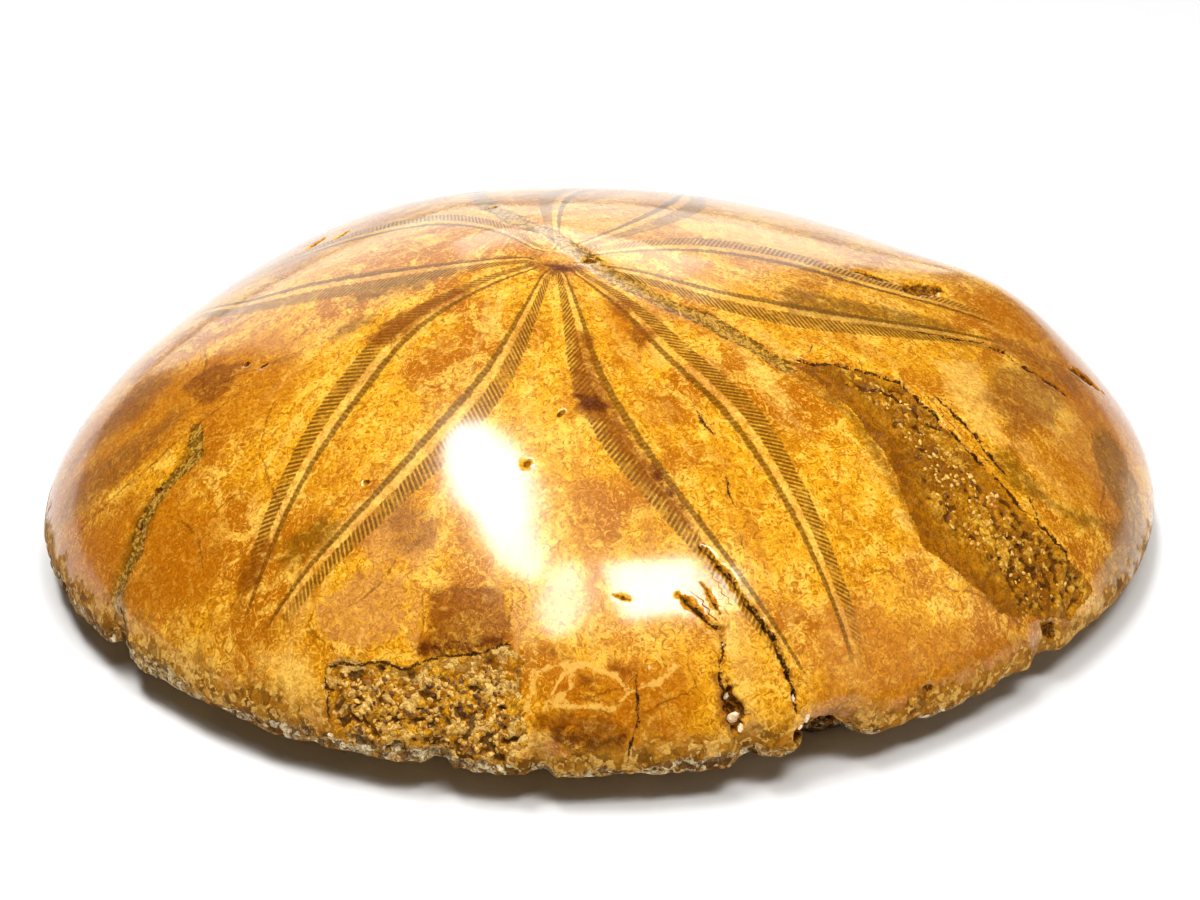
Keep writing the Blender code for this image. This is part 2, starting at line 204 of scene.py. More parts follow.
# Stains, and two stretches of painted reflection: unrolled outlines of the stretches of one tone
STAINS = {
    "deep": (
        ((22.5, -29.5), (26.5, -31.5), (33.0, -30.5), (40.0, -28.0), (46.0, -26.0), (45.0, -33.0),
         (36.0, -39.5), (27.0, -43.5), (22.5, -42.0), (21.5, -36.0)),
        ((-44.0, -16.5), (-36.0, -17.0), (-26.0, -19.5), (-21.5, -24.0), (-23.5, -29.0),
         (-27.0, -31.0), (-36.0, -28.0), (-42.0, -22.0)),
        ((2.0, -38.5), (8.0, -38.6), (13.5, -38.0), (15.0, -41.0), (14.0, -45.0), (2.0, -46.0)),
        ((5.7, -12.8), (7.5, -12.7), (8.7, -16.1), (8.2, -16.5), (7.1, -17.5), (5.8, -14.8)),
        ((7.5, -20.1), (9.9, -18.5), (10.8, -19.8), (10.2, -22.4), (8.9, -21.5), (8.0, -20.9)),
        ((-17.9, -40.7), (-15.6, -40.8), (-15.2, -42.3), (-16.9, -41.8)),
        ((-24.5, -10.5), (-17.6, -9.0), (-14.8, -13.4), (-19.0, -18.4), (-23.6, -17.8)),
        ((-20.0, 4.0), (-12.0, 6.0), (-14.0, 10.0), (-24.0, 10.0)),
        ((10.0, 24.0), (22.0, 18.0), (36.0, 20.0), (32.0, 34.0), (16.0, 36.0)),
        ((-20.0, 12.0), (-12.0, 20.0), (-8.0, 32.0), (-20.0, 34.0), (-32.0, 24.0), (-30.0, 14.0)),
        ((36.0, 4.0), (40.0, -2.0), (46.0, -4.0), (52.0, -6.0), (56.0, 2.0), (52.0, 10.0),
         (42.0, 12.0), (36.0, 9.0)),
        ((38.0, -14.0), (42.0, -8.0), (44.0, -3.0), (47.0, 2.0), (52.0, 4.0), (53.0, -4.0),
         (50.0, -12.0), (45.0, -16.0)),
        ((8.0, -7.0), (14.0, -9.0), (18.5, -11.0), (19.0, -13.5), (14.0, -12.5), (9.0, -11.0)),
        ((-44.0, 4.0), (-36.0, -2.0), (-26.0, -6.0), (-18.0, -6.0), (-16.0, -12.0), (-24.0, -16.0),
         (-34.0, -16.0), (-46.0, -12.0)),
        ((4.0, -9.0), (9.0, -10.0), (11.0, -14.0), (8.0, -17.0), (5.5, -13.0)),
    ),
    "tan": (
        ((-7.4, -32.8), (-6.6, -33.3), (-6.6, -35.9), (-7.3, -38.6), (-8.2, -37.7), (-8.0, -34.9)),
        ((-0.3, -34.9), (0.8, -35.0), (1.0, -38.3), (0.0, -38.6), (-0.3, -37.7)),
        ((-15.1, -33.2), (-11.4, -31.4), (-8.0, -32.6), (-7.9, -35.0), (-8.2, -36.9),
         (-11.8, -37.6), (-13.2, -37.0), (-15.8, -35.0)),
        ((-12.4, -28.6), (-9.0, -26.8), (-5.4, -29.2), (-6.4, -33.0), (-7.8, -32.6),
         (-11.4, -31.4)),
    ),
    "pale": (
        ((8.9, -16.0), (9.0, -14.2), (9.5, -13.4), (10.7, -14.1), (11.3, -15.9), (9.2, -16.6)),
        ((31.6, -6.7), (35.8, -3.5), (36.7, -7.6), (37.4, -12.3), (35.4, -13.9), (33.8, -12.8),
         (32.2, -9.8)),
        ((-14.2, -28.2), (-7.3, -23.5), (-7.1, -25.4), (-13.9, -29.7), (-16.6, -31.5)),
        ((-20.8, -35.2), (-15.7, -36.6), (-14.8, -39.1), (-16.6, -40.6), (-19.2, -38.9)),
        ((15.0, -36.3), (16.7, -36.3), (16.8, -37.0), (16.5, -38.0), (15.5, -38.3)),
        # Painted reflection: these two pale stretches, on the top and just behind it, stand for the
        # top washed pale by the bright backdrop's reflection
        ((11.0, 2.0), (20.0, 2.4), (30.0, 7.0), (20.0, 8.0), (12.0, 6.0)),
        ((-4.0, 12.0), (4.0, 14.0), (8.0, 20.0), (2.0, 24.0), (-4.0, 20.0)),
    ),
    "mauve": (
        ((-38.5, -9.6), (-34.6, -11.1), (-29.5, -11.2), (-27.6, -10.1), (-25.6, -12.2),
         (-27.3, -13.3), (-29.1, -14.7), (-31.5, -15.9), (-34.8, -15.7), (-38.6, -15.0),
         (-41.6, -13.5), (-40.6, -10.9)),
        ((-44.0, -9.0), (-38.0, -5.5), (-31.0, -3.5), (-27.5, -6.5), (-31.0, -9.6), (-38.0, -8.6)),
        ((-10.4, -28.0), (-7.8, -26.6), (-5.0, -29.0), (-6.2, -31.4), (-8.6, -31.6)),
        ((-14.5, -16.8), (-13.2, -14.8), (-11.7, -13.4), (-9.7, -14.2), (-10.7, -16.0),
         (-12.4, -17.3), (-13.7, -17.7)),
        ((36.8, -5.3), (39.0, -5.3), (40.5, -7.5), (40.2, -10.6), (37.8, -12.6), (36.9, -9.2)),
        ((37.2, 1.5), (39.4, 2.8), (46.9, 3.5), (46.3, -0.8), (41.5, -0.5), (37.0, -0.8)),
        ((36.4, -3.7), (41.6, 1.1), (44.8, -0.6), (42.9, -7.4), (38.0, -11.3),
         (35.3, -9.1)),
        ((-0.8, -4.7), (1.1, -4.1), (2.3, -4.3), (1.2, -5.4), (0.0, -6.7)),
        ((5.6, -22.4), (6.9, -24.6), (9.0, -27.4), (10.1, -28.4), (11.5, -30.0), (12.5, -29.2),
         (10.5, -27.3), (8.3, -24.5), (6.5, -22.0)),
        ((1.8, -37.9), (4.2, -38.1), (4.6, -38.9), (2.9, -39.2), (1.9, -38.9)),
    ),
    "olive": (
        ((-17.7, -27.8), (-14.2, -26.6), (-12.3, -28.2), (-14.1, -29.6), (-16.7, -30.7),
         (-18.5, -29.9)),
        ((-19.7, -10.8), (-16.8, -10.8), (-14.2, -9.5), (-11.2, -8.7), (-10.7, -10.2),
         (-13.2, -10.8), (-15.6, -11.4), (-18.0, -11.7)),
        ((-14.3, -7.4), (-12.5, -5.0), (-9.5, -5.2), (-7.6, -4.9), (-4.8, -5.1), (-5.9, -6.5),
         (-7.5, -7.6), (-9.7, -7.6), (-11.9, -7.7)),
        ((19.4, -2.8), (22.0, -2.6), (27.7, -1.0), (31.3, 0.0), (35.4, 0.3), (32.9, -3.0),
         (30.0, -4.9), (27.5, -5.5), (23.3, -6.4), (19.3, -7.7)),
        ((46.5, -3.3), (49.0, -1.3), (51.3, -3.1), (52.9, -6.0), (54.0, -10.5), (53.0, -17.0),
         (50.0, -20.0), (46.8, -19.6), (48.9, -11.7), (46.6, -9.7)),
        ((35.0, -14.9), (37.7, -12.4), (39.1, -14.2), (41.9, -16.0), (46.4, -14.2), (51.6, -11.9),
         (49.2, -14.6), (43.9, -17.5), (40.9, -17.0), (39.4, -17.6), (37.1, -17.3)),
        ((19.4, -13.6), (23.8, -16.9), (25.6, -19.5), (27.3, -22.1), (29.5, -25.2), (33.4, -27.4),
         (37.4, -28.6), (41.0, -27.6), (38.4, -27.0), (33.2, -25.6), (30.5, -24.2), (28.5, -21.1),
         (26.9, -17.8), (25.0, -15.9), (22.3, -14.1), (20.5, -13.0)),
        ((-25.1, -14.6), (-24.2, -17.8), (-27.7, -19.6), (-29.4, -22.4), (-31.4, -24.6),
         (-33.2, -28.4), (-35.2, -27.6), (-34.4, -24.0), (-31.9, -21.2), (-30.3, -18.9),
         (-27.4, -17.8), (-26.3, -15.4)),
    ),
    "brown": (
        ((3.6, -13.0), (5.4, -13.2), (5.9, -17.0), (7.2, -19.8), (8.4, -22.6), (11.2, -26.3),
         (13.4, -29.4), (12.2, -29.6), (9.4, -26.8), (7.0, -23.6), (5.6, -21.6), (3.7, -21.3),
         (3.6, -17.0)),
        ((7.4, -11.6), (10.7, -12.1), (10.1, -13.3), (9.3, -13.8), (8.7, -16.1), (8.2, -14.3)),
        ((5.8, -8.6), (8.4, -9.6), (7.8, -12.0), (6.4, -11.0)),
        ((-6.7, -33.8), (-4.1, -33.5), (-1.3, -33.8), (-0.3, -35.6), (-0.3, -38.2), (-3.7, -38.6),
         (-7.3, -38.6), (-6.8, -36.6)),
        ((-11.8, -11.6), (-10.5, -10.1), (-7.4, -8.9), (-4.7, -7.9), (-2.9, -7.8), (-3.2, -8.4),
         (-5.2, -9.9), (-7.4, -11.5), (-9.5, -13.0), (-11.0, -12.9)),
        ((-27.3, -8.5), (-24.3, -7.5), (-21.4, -9.5), (-22.4, -11.9), (-24.3, -13.1),
         (-25.7, -12.0)),
        ((-21.4, -29.2), (-20.1, -27.4), (-18.8, -26.8), (-17.9, -27.8), (-18.5, -29.4),
         (-20.0, -30.8), (-22.4, -31.6)),
        ((0.0, -6.5), (1.2, -5.4), (2.4, -5.5), (4.0, -5.9), (5.2, -6.3), (3.7, -7.2), (1.0, -7.0)),
        ((4.5, -39.6), (6.1, -39.9), (7.1, -41.0), (5.5, -41.4), (4.3, -41.0)),
        ((1.1, -42.7), (3.5, -42.3), (6.6, -42.5), (8.7, -43.4), (8.5, -44.7), (6.8, -45.2),
         (3.9, -44.9), (1.7, -43.9)),
        ((6.4, -39.3), (9.4, -39.2), (8.4, -40.3), (7.4, -40.1)),
        ((14.4, -39.0), (15.6, -39.4), (17.0, -41.0), (17.4, -43.4), (15.4, -42.6)),
    ),
    "dark": (
        ((-7.3, -37.5), (-3.3, -37.4), (-0.7, -37.7), (-0.5, -38.3), (-3.7, -38.7), (-7.3, -38.7)),
        ((2.0, -43.9), (3.6, -43.4), (6.4, -43.9), (8.6, -44.0), (8.3, -44.9), (6.8, -45.4),
         (3.9, -45.1)),
        ((3.9, -19.2), (5.9, -18.9), (6.6, -20.4), (4.6, -20.9)),
        ((22.2, -42.2), (22.5, -41.0), (24.4, -40.5), (26.9, -40.2), (28.6, -42.0), (24.3, -42.5)),
        ((1.6, -6.0), (3.0, -5.9), (4.4, -6.1), (3.6, -6.8), (2.0, -6.8)),
        ((9.6, -24.4), (11.0, -26.2), (12.4, -28.4), (11.2, -27.6), (9.8, -25.8)),
    ),
}

# The order in which the tones lie over each other: tone, colour, strength, softness of its edge
TONES = (
    ("deep", (184, 110, 4), 0.80, 2.2),
    # pale is the stone's paler patches, and also painted reflection on the dome's top
    ("pale", (248, 198, 100), 0.60, 1.0),
    ("tan", (200, 138, 70), 0.80, 0.7),
    ("mauve", (146, 92, 34), 0.72, 1.2),
    ("olive", (130, 86, 4), 0.80, 0.9),
    ("brown", (140, 78, 2), 0.88, 0.6),
    ("dark", (86, 34, 0), 0.85, 0.5),
)

# White crystals: unrolled place, size. Then how many loose grains the sediment holds.
CRYSTALS = (
    ((16.2, -40.5), 0.45), ((16.9, -41.9), 0.95), ((17.5, -42.5), 0.55), ((15.4, -37.2), 0.3),
    ((21.3, -39.7), 0.6), ((22.6, -40.8), 0.6), ((22.4, -41.4), 0.45), ((9.8, -39.4), 0.25),
    ((-15.2, -42.6), 0.4),
)
GRAINS = 1100
GRAIN_SEED = 7
GRAIN_SIZE = (0.14, 0.42)
GRAIN_SHAPE = (1.35, 0.85, 0.5)
GRAIN_INSET = 1.2
PALE_SHARE = 0.7
# Farther right than this, fewer grains are kept, and none near the patch's border
RIGHT_START = 10.0
RIGHT_SHARE = 0.4
GRAINLESS = 3.0
# Name, light colour, dark colour, roughness
GRAIN_LOOKS = (
    ("white_crystal", (252, 240, 214), (214, 180, 128), 0.35),
    ("pale_grain", (236, 196, 112), (196, 146, 48), 0.5),
    ("dark_grain", (136, 84, 10), (84, 48, 4), 0.5),
)
# Painted beds of grains: how many to a millimetre, how strongly they show
GRAIN_BEDS = ((1.3, 0.8), (2.6, 0.75))

MOUTH = (1.5, -6.0)
MOUTH_REACH = 4.3
MOUTH_DEPTH = 4.2
MOUTH_CORNER = 0.14
HOLLOW = 5.2
FURROW_BEARINGS = (7.0, 73.0, 150.0, 225.0, 297.0)
FURROW_WIDTH = 2.4
FURROW_DEPTH = 0.9
SWELLING = 3.2
SWELLING_WIDTH = 7.0
VENT_BEARING = 115.0
VENT_FROM_MOUTH = 0.80
VENT_LENGTH = 3.6
VENT_WIDTH = 2.4
VENT_DEPTH = 1.6

# Petals: bearing, then where the inner pore row of each side lies at each station
PETAL_CENTRE = (2.4, -5.3)
STATIONS = (2.0, 6.0, 12.0, 18.0, 25.0, 32.0, 40.0, 46.0)
PETALS = (
    (158.7, (-0.5, -2.1, -4.1, -4.4, -4.2, -3.3, -2.5, -2.4),
     (0.7, 2.1, 3.4, 3.8, 3.6, 0.6, -1.2, -2.0)),
    (229.7, (-0.4, -2.0, -3.5, -3.1, -2.4, -1.0, 0.6, 1.2),
     (0.5, 2.0, 3.8, 4.1, 3.7, 2.5, 1.6, 1.3)),
    (298.0, (-0.2, -1.1, -2.5, -2.6, -1.6, 0.1, 2.4, 4.6),
     (0.5, 1.7, 2.8, 4.5, 5.4, 5.7, 5.9, 6.0)),
    (7.9, (-0.4, -1.1, -2.6, -2.8, -1.9, 0.0, 1.9, 2.6),
     (0.4, 1.6, 3.2, 3.7, 3.2, 3.6, 3.4, 2.9)),
    (72.0, (-0.5, -2.2, -3.5, -3.6, -2.6, -0.9, 0.2, 0.5),
     (0.5, 1.8, 3.2, 3.7, 2.9, 1.4, 0.7, 0.6)),
)
BAND_OFFSET = (0.5, 1.0, 1.6, 1.9, 1.5, 1.15, 0.8, 0.5)
ROW_ENDS = (36.0, 38.0, 40.0, 38.0, 40.0)
ROW_FADE = 7.0
SLIT_SPACING = 0.38
SLIT_SLANT = 0.9

# The mesh: an even ball of facets, split finer where there is detail
BALL_SUBDIVISIONS = 6
SPLIT_PASSES = 4
FINE_FACET = 0.24
ROW_FACET = 0.55
ROUGH_FACET = 0.42
UNDER_FACET = 0.8
COARSE_FACET = 0.85
FACET_GROWTH = 0.4

PROFILE_STEPS = 400
LIP_STEPS = 40
REACH_STEPS = 60

# The camera, from the same point as the places in plan
CAMERA_TARGET = (5.6, 0.0, 7.1)
CAMERA_DISTANCE = 188.8
CAMERA_RISE = math.radians(27.85)
LENS = 72.0
SENSOR = 36.0

FLOOR_SIZE = 3.0
FLOOR_COLOUR = (0.78, 0.78, 0.78, 1.0)

# Plain panels of light, in metres: place, size, tilt and turn in degrees, brightness
ROOM_BRIGHTNESS = 0.05
PANELS = (
    ("back_wall", "RECTANGLE", (-0.20, 0.95, 0.45), (1.1, 0.9), (-65.0, 0.0), 1.1),
    ("back_band", "RECTANGLE", (0.0, 0.80, 0.60), (0.55, 0.22), (-53.0, 0.0), 2.5),
    ("umbrella", "ELLIPSE", (-0.120, -0.015, 0.60), (0.120, 0.23), (0.0, 20.0), 23.0),
    ("umbrella_edge", "ELLIPSE", (-0.088, -0.145, 0.60), (0.080, 0.20), (0.0, 15.0), 19.0),
    ("strip", "ELLIPSE", (-0.018, -0.315, 0.60), (0.065, 0.24), (0.0, -5.0), 14.0),
    ("window", "RECTANGLE", (0.140, -0.262, 0.60), (0.165, 0.165), (0.0, 15.0), 21.0),
    ("window_side", "RECTANGLE", (0.265, -0.240, 0.60), (0.090, 0.12), (0.0, 15.0), 9.0),
    ("side_fill", "RECTANGLE", (0.80, -0.25, 0.40), (0.7, 0.6), (60.0, 75.0), 0.45),
)


# ---------------------------------------------------------------- shape


def rim_reach(bearing):
    """Distance from the foot of the dome's top to the rim: a smooth closed curve."""
    count = len(RIM_REACH)
    waves = np.fft.rfft(RIM_REACH) / count
    reach = np.full_like(bearing, waves[0].real)
    for turn in range(1, count // 2 + 1):
        share = 1.0 if turn == count // 2 else 2.0
        reach += share * (waves[turn].real * np.cos(turn * bearing)
                          - waves[turn].imag * np.sin(turn * bearing))
    return reach


def in_front(bearing):
    """1 where the lip is cut back, under the front of the rim, and 0 at the back."""
    return smooth((np.cos(bearing - math.radians(UNDERCUT_BEARING)) + 0.2) / 0.6)


def lip_inset(bearing):
    """How far in from the rim the underside's foot is."""
    return LIP_INSET + FRONT_INSET * in_front(bearing)


def box_middle():
    """Middle of the rim's box in plan, which the frame's origin is at."""
    bearing = np.linspace(0.0, 2.0 * math.pi, 720, endpoint=False)
    reach = rim_reach(bearing)
    across, back = reach * np.cos(bearing), reach * np.sin(bearing)
    return (across.max() + across.min()) / 2, (back.max() + back.min()) / 2


def dome_height(fraction):
    """Height of the dome at a fraction of the way out to the rim."""
    fall = np.clip(1.0 - np.clip(fraction, 0.0, 1.0) ** DOME_BLUNTNESS, 0.0, 1.0)
    return RIM_HEIGHT + (HEIGHT - RIM_HEIGHT) * fall ** (1.0 / DOME_STEEPNESS)


def dome_table():
    """For a row of reaches: the fraction of the way out at even steps along the skin."""
    reaches = np.linspace(min(RIM_REACH) - 1.5, max(RIM_REACH) + 1.5, REACH_STEPS)
    step = np.linspace(0.0, 1.0, PROFILE_STEPS)
    fraction = 1.0 - (1.0 - step) ** 2.2
    even = np.zeros((REACH_STEPS, PROFILE_STEPS))
    length = np.zeros(REACH_STEPS)
    for row, reach in enumerate(reaches):
        rises = np.hypot(np.diff(reach * fraction), np.diff(dome_height(fraction)))
        run = np.concatenate([[0.0], np.cumsum(rises)])
        length[row] = run[-1]
        even[row] = np.interp(step * run[-1], run, fraction)
    return reaches, even, length


def lip_table():
    """The lip under the rim: how far round it each even step along its skin is."""
    turn = np.linspace(0.0, math.pi / 2, LIP_STEPS)
    rises = np.hypot(np.diff(LIP_INSET * np.cos(turn)), np.diff(RIM_HEIGHT * np.sin(turn)))
    run = np.concatenate([[0.0], np.cumsum(rises)])
    return turn, run


def smooth(value):
    """Ease from 0 to 1."""
    value = np.clip(value, 0.0, 1.0)
    return value * value * (3.0 - 2.0 * value)


def turn_from(bearing, other):
    """Smaller angle between bearings and another one, in radians."""
    turn = bearing - math.radians(other)
    return np.abs(np.arctan2(np.sin(turn), np.cos(turn)))


def lumps(places, size, seed, where=None):
    """Smooth natural unevenness from -1 to 1 at each place (0 where it isn't wanted).

    Its lumps are about as far apart as the size, and each seed gives another pattern.
    """
    offset = Vector((seed, 2.0 * seed, 3.0 * seed))
    result = np.zeros(len(places))
    chosen = range(len(places)) if where is None else np.flatnonzero(where)
    for index in chosen:
        result[index] = noise.noise(Vector(places[index]) / size + offset)
    return result


def across_lines(points, routes, half_widths, taper):
    """Signed distance across the nearest line, and how wide that line is there."""
    nearest = np.full(len(points), FAR)
    width = np.full(len(points), -1.0)
    for route, half_width in zip(routes, half_widths):
        ends = np.array(route)
        lengths = np.linalg.norm(np.diff(ends, axis=0), axis=1)
        starts = np.concatenate([[0.0], np.cumsum(lengths)])
        for start, end, length, before in zip(ends[:-1], ends[1:], lengths, starts):
            run = (end - start) / length
            away = points - start
            along = away @ run
            side = away[:, 1] * run[0] - away[:, 0] * run[1]
            beyond = np.maximum(np.maximum(-along, along - length), 0.0)
            gap = np.hypot(side, beyond)
            nearer = gap < np.abs(nearest)
            nearest = np.where(nearer, np.where(side < 0.0, -gap, gap), nearest)
            to_end = np.minimum(before + along, starts[-1] - before - along)
            ending = half_width * np.clip(to_end / taper, 0.0, 1.0) ** 0.6
            width = np.where(nearer, np.where((to_end > 0.0) & (gap < 1.2), ending, -1.0), width)
    return nearest, width


def line_distance(points, route):
    """Distance from each point to a route of straight runs, in the flat."""
    nearest = np.full(len(points), np.inf)
    for start, end in zip(np.array(route[:-1]), np.array(route[1:])):
        run = end - start
        along = np.clip(((points - start) @ run) / (run @ run), 0.0, 1.0)
        gap = np.linalg.norm(points - start - along[:, None] * run, axis=1)
        nearest = np.minimum(nearest, gap)
    return nearest


def depth_inside(points, outline):
    """Distance to a closed outline: positive inside it, negative outside."""
    closed = list(outline) + [outline[0]]
    inside = np.zeros(len(points), bool)
    for (x1, y1), (x2, y2) in zip(closed[:-1], closed[1:]):
        spans = (y1 > points[:, 1]) != (y2 > points[:, 1])
        rise = y2 - y1 if y2 != y1 else 1.0
        crossing = x1 + (points[:, 1] - y1) * (x2 - x1) / rise
        inside ^= spans & (points[:, 0] < crossing)
    gap = line_distance(points, closed)
    return np.where(inside, gap, -gap)


def pit_reach(points, pit):
    """Distance from a pit's centre as a share of its size: 1 is its edge."""
    centre, half_length, half_width, turn, _ = pit
    away = points - np.array(centre)
    cosine, sine = math.cos(math.radians(turn)), math.sin(math.radians(turn))
    along = (away[:, 0] * cosine + away[:, 1] * sine) / half_length
    across = (away[:, 1] * cosine - away[:, 0] * sine) / half_width
    return np.hypot(along, across)


class Skin:
    """Every vertex of the ball: its bearing, and its place on the bare shape."""

    def __init__(self, directions, tables):
        reaches, even, length = tables[0]
        lip_turn, lip_run = tables[1]
        self.bearing = np.arctan2(directions[:, 1], directions[:, 0])
        tilt = np.arccos(np.clip(directions[:, 2], -1.0, 1.0))
        self.top = tilt <= LIP_TURN
        reach = rim_reach(self.bearing)
        row = (reach - reaches[0]) / (reaches[1] - reaches[0])
        low = np.clip(row.astype(int), 0, REACH_STEPS - 2)
        row -= low
        share = np.clip(tilt / RIM_TURN, 0.0, 1.0)
        step = share * (PROFILE_STEPS - 1)
        left = np.clip(step.astype(int), 0, PROFILE_STEPS - 2)
        step -= left
        fraction = ((1 - row) * ((1 - step) * even[low, left] + step * even[low, left + 1])
                    + row * ((1 - step) * even[low + 1, left] + step * even[low + 1, left + 1]))
        self.rim_run = (1 - row) * length[low] + row * length[low + 1]
        past = np.clip((tilt - RIM_TURN) / (LIP_TURN - RIM_TURN), 0.0, 1.0) * lip_run[-1]
        turn = np.interp(past, lip_run, lip_turn)
        out = reach * fraction - lip_inset(self.bearing) * (1.0 - np.cos(turn))
        out *= np.clip((math.pi - tilt) / (math.pi - LIP_TURN), 0.0, 1.0)
        lip_height = RIM_HEIGHT * (1.0 - np.sin(turn))
        height = np.where(tilt <= RIM_TURN, dome_height(fraction), lip_height)
        self.run = self.rim_run * share + past
        self.place = np.stack([out * np.cos(self.bearing), out * np.sin(self.bearing), height], 1)
        self.unrolled = np.stack([self.run * np.cos(self.bearing),
                                  self.run * np.sin(self.bearing)], 1)
        self.measure_from_mouth()

    def measure_from_mouth(self):
        """Distances on the underside: from the mouth's middle, and from the furrows."""
        away = self.place[:, :2] - np.array(MOUTH)
        self.mouth_gap = np.linalg.norm(away, axis=1)
        self.mouth_bearing = np.arctan2(away[:, 1], away[:, 0])
        toward = np.stack([np.cos(self.mouth_bearing), np.sin(self.mouth_bearing)], axis=1)
        edge = rim_reach(self.mouth_bearing) - toward @ np.array(MOUTH)
        edge -= lip_inset(self.mouth_bearing)
        self.mouth_share = np.clip(self.mouth_gap / edge, 0.0, 1.0)
        self.furrow_gap = np.full(len(edge), np.inf)
        for furrow in FURROW_BEARINGS:
            turn = np.minimum(turn_from(self.mouth_bearing, furrow), math.pi / 2)
            self.furrow_gap = np.minimum(self.furrow_gap, self.mouth_gap * np.sin(turn))


def underside_height(skin):
    """Height of the underside over the lip's foot."""
    share = skin.mouth_share
    fade = smooth((1.0 - share) / 0.3)
    furrow = np.exp(-(skin.furrow_gap / (FURROW_WIDTH * (0.6 + 0.6 * share))) ** 2)
    swelling = 1.0 - np.exp(-(skin.furrow_gap / SWELLING_WIDTH) ** 2)
    height = HOLLOW * (1.0 - share ** 2) + FURROW_DEPTH * furrow * fade
    height -= SWELLING * swelling * np.sin(math.pi * share ** 0.8) * fade
    corners = np.cos(5.0 * (skin.mouth_bearing - math.radians(FURROW_BEARINGS[1])))
    reach = MOUTH_REACH * (1.0 + MOUTH_CORNER * corners)
    height += MOUTH_DEPTH * smooth(1.9 - 1.4 * skin.mouth_gap / reach)
    return height + vent_depth(skin)


def vent_pit():
    """The vent, in the form of a row of the pits' table."""
    bearing = math.radians(VENT_BEARING)
    reach = float(rim_reach(np.array([bearing]))[0]) - LIP_INSET
    centre = np.array([math.cos(bearing), math.sin(bearing)]) * reach * VENT_FROM_MOUTH
    return (tuple(centre), VENT_LENGTH, VENT_WIDTH, VENT_BEARING, VENT_DEPTH)


def vent_depth(skin):
    """The small oval vent near the back margin of the underside."""
    return VENT_DEPTH * smooth(1.6 - 1.3 * pit_reach(skin.place[:, :2], vent_pit()))


def pore_rows(points):
    """The nearest pore row: distance across it (1 is its band's middle), along it, and fade."""
    across = np.full(len(points), OUTSIDE)
    along = np.zeros(len(points))
    fade = np.zeros(len(points))
    away = points - np.array(PETAL_CENTRE)
    for (bearing, left_row, right_row), end in zip(PETALS, ROW_ENDS):
        angle = math.radians(bearing)
        out = away[:, 0] * math.cos(angle) + away[:, 1] * math.sin(angle)
        side = away[:, 1] * math.cos(angle) - away[:, 0] * math.sin(angle)
        band = soft_interp(out, BAND_OFFSET)
        ending = smooth((out - 0.8) / 0.8) * smooth((end - out) / ROW_FADE)
        for row, sign in ((left_row, -1.0), (right_row, 1.0)):
            offset = sign * (side - soft_interp(out, row)) / band
            offset = np.where(ending > 0.0, offset, OUTSIDE)
            nearer = np.abs(offset - 0.5) < np.abs(across - 0.5)
            across = np.where(nearer, offset, across)
            along = np.where(nearer, out, along)
            fade = np.where(nearer, ending, fade)
    return across, along, fade


def soft_interp(out, values):
    """Smooth curve through a petal's station values."""
    stations = np.array(STATIONS)
    values = np.array(values)
    slopes = np.gradient(values, stations)
    place = np.clip(np.searchsorted(stations, out) - 1, 0, len(stations) - 2)
    span = stations[place + 1] - stations[place]
    t = np.clip((out - stations[place]) / span, 0.0, 1.0)
    rise = ((2 * t ** 3 - 3 * t ** 2 + 1) * values[place]
            + (3 * t ** 2 - 2 * t ** 3) * values[place + 1])
    lean = (t ** 3 - 2 * t ** 2 + t) * slopes[place] + (t ** 3 - t ** 2) * slopes[place + 1]
    return rise + lean * span


def facet_limit(skin):
    """Longest edge wanted at each place: short at a mark, growing away from it."""
    gap = np.full(len(skin.run), np.inf)
    for route, half_width, _ in CRACKS:
        gap = np.minimum(gap, line_distance(skin.unrolled, route) - 2 * half_width)
    for pit in PITS:
        gap = np.minimum(gap, (pit_reach(skin.unrolled, pit) - 1.1) * min(pit[1:3]))
    for outline in (RIGHT_PATCH, FRONT_PATCH):
        gap = np.minimum(gap, -depth_inside(skin.unrolled, outline))
    limit = np.clip(FINE_FACET + FACET_GROWTH * gap, FINE_FACET, COARSE_FACET)
    across, _, _ = pore_rows(skin.unrolled)
    limit = np.where(np.abs(across - 0.5) < 1.4, np.minimum(limit, ROW_FACET), limit)
    rough = skin.place[:, 2] < ROUGH_LEVEL + 1.5
    limit = np.where(rough, np.minimum(limit, ROUGH_FACET), limit)
    return np.where(skin.top, limit, UNDER_FACET)


def ball_directions(bm):
    """Which way each vertex of the ball lies from its middle."""
    directions = np.array([vertex.co[:] for vertex in bm.verts])
    return directions / np.linalg.norm(directions, axis=1)[:, None]


def split_detail(bm, tables):
    """Split the long edges of the ball, to a shorter length where there is detail."""
    for _ in range(SPLIT_PASSES):
        bm.verts.index_update()
        skin = Skin(ball_directions(bm), tables)
        limit = facet_limit(skin)
        ends = np.array([(edge.verts[0].index, edge.verts[1].index) for edge in bm.edges])
        length = np.linalg.norm(skin.place[ends[:, 0]] - skin.place[ends[:, 1]], axis=1)
        too_long = length > (limit[ends[:, 0]] + limit[ends[:, 1]]) / 2
        long_edges = [edge for edge, chosen in zip(bm.edges, too_long) if chosen]
        bmesh.ops.subdivide_edges(bm, edges=long_edges, cuts=1)
        bmesh.ops.triangulate(bm, faces=bm.faces[:])


